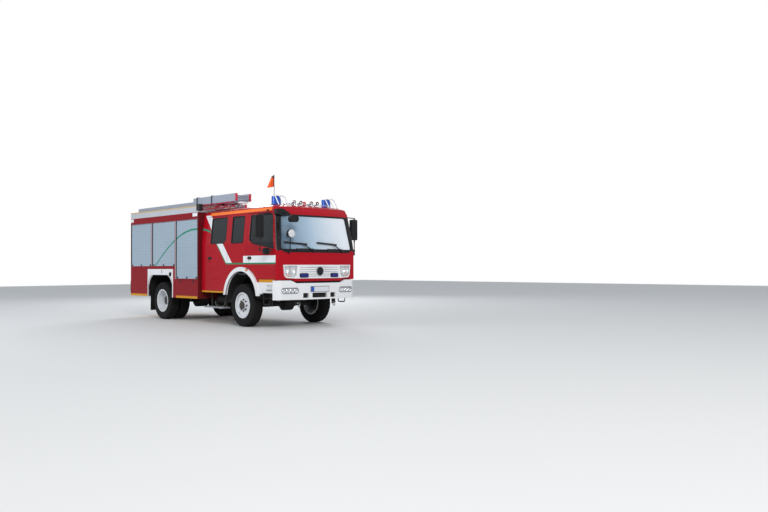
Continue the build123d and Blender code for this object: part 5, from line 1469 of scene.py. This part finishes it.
# locker for suction hoses on the left: its lid overlaps the box all round and is held by two catches
dress(bare_aluminium, "roof_locker")
front_edge, back_edge = front_axle + 3.798, front_axle + 5.402
lid_corners = [(0.738, front_edge, 3.000), (1.162, front_edge, 3.000), (1.162, back_edge, 3.000),
               (0.738, back_edge, 3.000)]
lid_edge = carried(curved(lid_corners, 0.006, True, 2), rectangle(0.006, 0.034, 0.002), (0, 0, 1), True)
lid_ribs = copies(rounded_block((0.76, -0.02, 3.016), (1.14, 0.02, 3.024), 0.003, 2),
                  [(0, front_axle + along, 0) for along in (4.1, 4.6, 5.1)])
fixed("roof_locker_lid", [lid_edge, lid_ribs], bare_aluminium)
lid_catches = copies(rounded_block((0.728, -0.03, 2.930), (0.742, 0.03, 3.010), 0.004, 2),
                     [(0, front_axle + along, 0) for along in (4.2, 5.0)])
fixed("roof_locker_catches", [lid_catches], black_plastic)


# Back of the vehicle
# A wide shutter with a bar handle, round-cornered lamp units, a bare number plate, yellow edge marking,
# mud flaps behind the twin wheels, and a climbing ladder of aluminium tube.

ladder_silver = surface("ladder_silver", (0.38, 0.42, 0.50), 0.38, metallic=0.35, film=0.08,
                        grain=(110, 0.0002))
lamp_unit = surface("lamp_unit", (0.55, 0.012, 0.016), 0.16, coat=0.6, film=0.1, layers=[
    ("box", {"Low Z": 0.915}, (0.88, 0.25, 0.02)),
    ("box", {"High Z": 0.785}, (0.72, 0.74, 0.76)),
])
dress(lamp_unit, "rear_lamps")
dress(ladder_silver, "climb_ladder", "roof_ladders")
rear_y = front_axle + 5.630
frame_y = rear_y + 0.020
frame_corners = [(-1.236, frame_y, 0.714), (-1.104, frame_y, 0.714), (-1.104, frame_y, 1.016),
                 (-1.236, frame_y, 1.016)]
lamp_frame = carried(curved(frame_corners, 0.012, True), rectangle(0.010, 0.044, 0.003), (0, 1, 0), True)
stop_lamp = turned([(0, 0), (0, 0.050), (0.014, 0.050), (0.020, 0.040), (0.022, 0)],
                   (-1.100, rear_y, 2.715), (0, 1, 0), 28)
high_blue = turned([(0, 0), (0, 0.056), (0.020, 0.055), (0.034, 0.040), (0.038, 0)],
                   (-0.900, rear_y, 2.715), (0, 1, 0), 28)
fixed("rear_lamp_frames", both_sides([lamp_frame]), black_plastic)
fixed("rear_stop_lamps", both_sides([stop_lamp]), red_lens)
fixed("rear_flashers", both_sides([high_blue]), blue_lens)
tapes = []
# columns: middle of the tape across, its middle height, width, height
for tape_x, tape_z, width, height in (
    (-1.215, 1.86, 0.050, 1.50), (-0.740, 1.86, 0.050, 1.50), (-0.930, 0.640, 0.62, 0.050),
):
    outline = rectangle(width, height, 0.002)
    tapes.append(plate(outline, (tape_x, rear_y, tape_z), (0, 1, 0), 0.0015, 0.0004))
yellow_tape = surface("yellow_tape", strip_yellow, 0.45, film=0.3)
fixed("rear_edge_marking", both_sides(tapes), yellow_tape)
handle = tube([(-0.62, rear_y - 0.008, 1.165), (-0.62, rear_y + 0.045, 1.165),
               (0.62, rear_y + 0.045, 1.165), (0.62, rear_y - 0.008, 1.165)], 0.012, (0, 0, 1), 0.02)
fixed("rear_shutter_handle", [handle], ladder_silver)
guide_y = rear_y - 0.006
rear_guides = [
    carried([(x, guide_y, 1.110), (x, guide_y, 2.622)], rectangle(0.012, 0.022, 0.003), (0, 1, 0))
    for x in (-0.694, 0.694)
]
rear_holder, rear_plate, rear_end = blank_plate((-0.390, rear_y, 1.048), (0, 1, 0), (0.532, 0.124))
fixed("rear_black_fittings", rear_guides + [rear_holder], black_plastic)
fixed("rear_number_plate", [rear_plate], plate_white)
fixed("rear_plate_blue_end", [rear_end], plate_blue)
mud_flap = rounded_block((-1.200, rear_axle + 0.640, 0.220), (-0.620, rear_axle + 0.648, 0.780), 0.003, 2)
fixed("mud_flaps", both_sides([mud_flap]), rubber)


# Ladders on the roof
# Aluminium ladders lie on bearers: two stacked on the right, one beside them. Red caps close their
# front ends, black straps hold them down, and a red truss carries them ahead of the gallery.

rack_paint = surface("rack_paint", (0.50, 0.52, 0.55), 0.42, metallic=0.2, film=0.12, layers=[
    ("box", {"High Y": front_axle + 1.836}, (0.36, 0.010, 0.030)),
])
dress(rack_paint, "ladder_rack")
red_cap = surface("red_cap", (0.55, 0.016, 0.040), 0.45, film=0.1)
caps, straps, hooks = [], [], []
# columns: middle of the ladders, their front end, how many lie on each other, stations of the straps
for ladder_x, front, count, strap_stations in (
    (-0.940, 0.250, 2, (1.35, 2.05)), (0.060, 1.950, 1, (2.25, 4.75)),
):
    front_y = front_axle + front
    for rail_x in (ladder_x - 0.191, ladder_x + 0.191):
        for level in (2.985, 3.077)[:count]:
            low = (rail_x - 0.021, front_y - 0.012, level + 0.001)
            high = (rail_x + 0.021, front_y + 0.050, level + 0.091)
            caps.append(rounded_block(low, high, 0.008, 3))
    low_x, high_x, top = ladder_x - 0.214, ladder_x + 0.214, 2.9825 + 0.092 * count
    loop = curved([(low_x, 0, 2.982), (high_x, 0, 2.982), (high_x, 0, top), (low_x, 0, top)], 0.015, True)
    ladder_strap = carried(loop, flat(0.020, -0.001, 0.002), (0, 1, 0), True)
    straps.append(copies(ladder_strap, [(0, front_axle + station, 0) for station in strap_stations]))
    low, high = (ladder_x - 0.10, front_y - 0.02, 2.930), (ladder_x + 0.10, front_y + 0.10, 2.972)
    hooks.append(rounded_block(low, high, 0.008, 3))
fixed("ladder_end_caps", caps, red_cap)
fixed("ladder_straps", straps, seal_rubber)
fixed("ladder_hooks", hooks, panel_white)
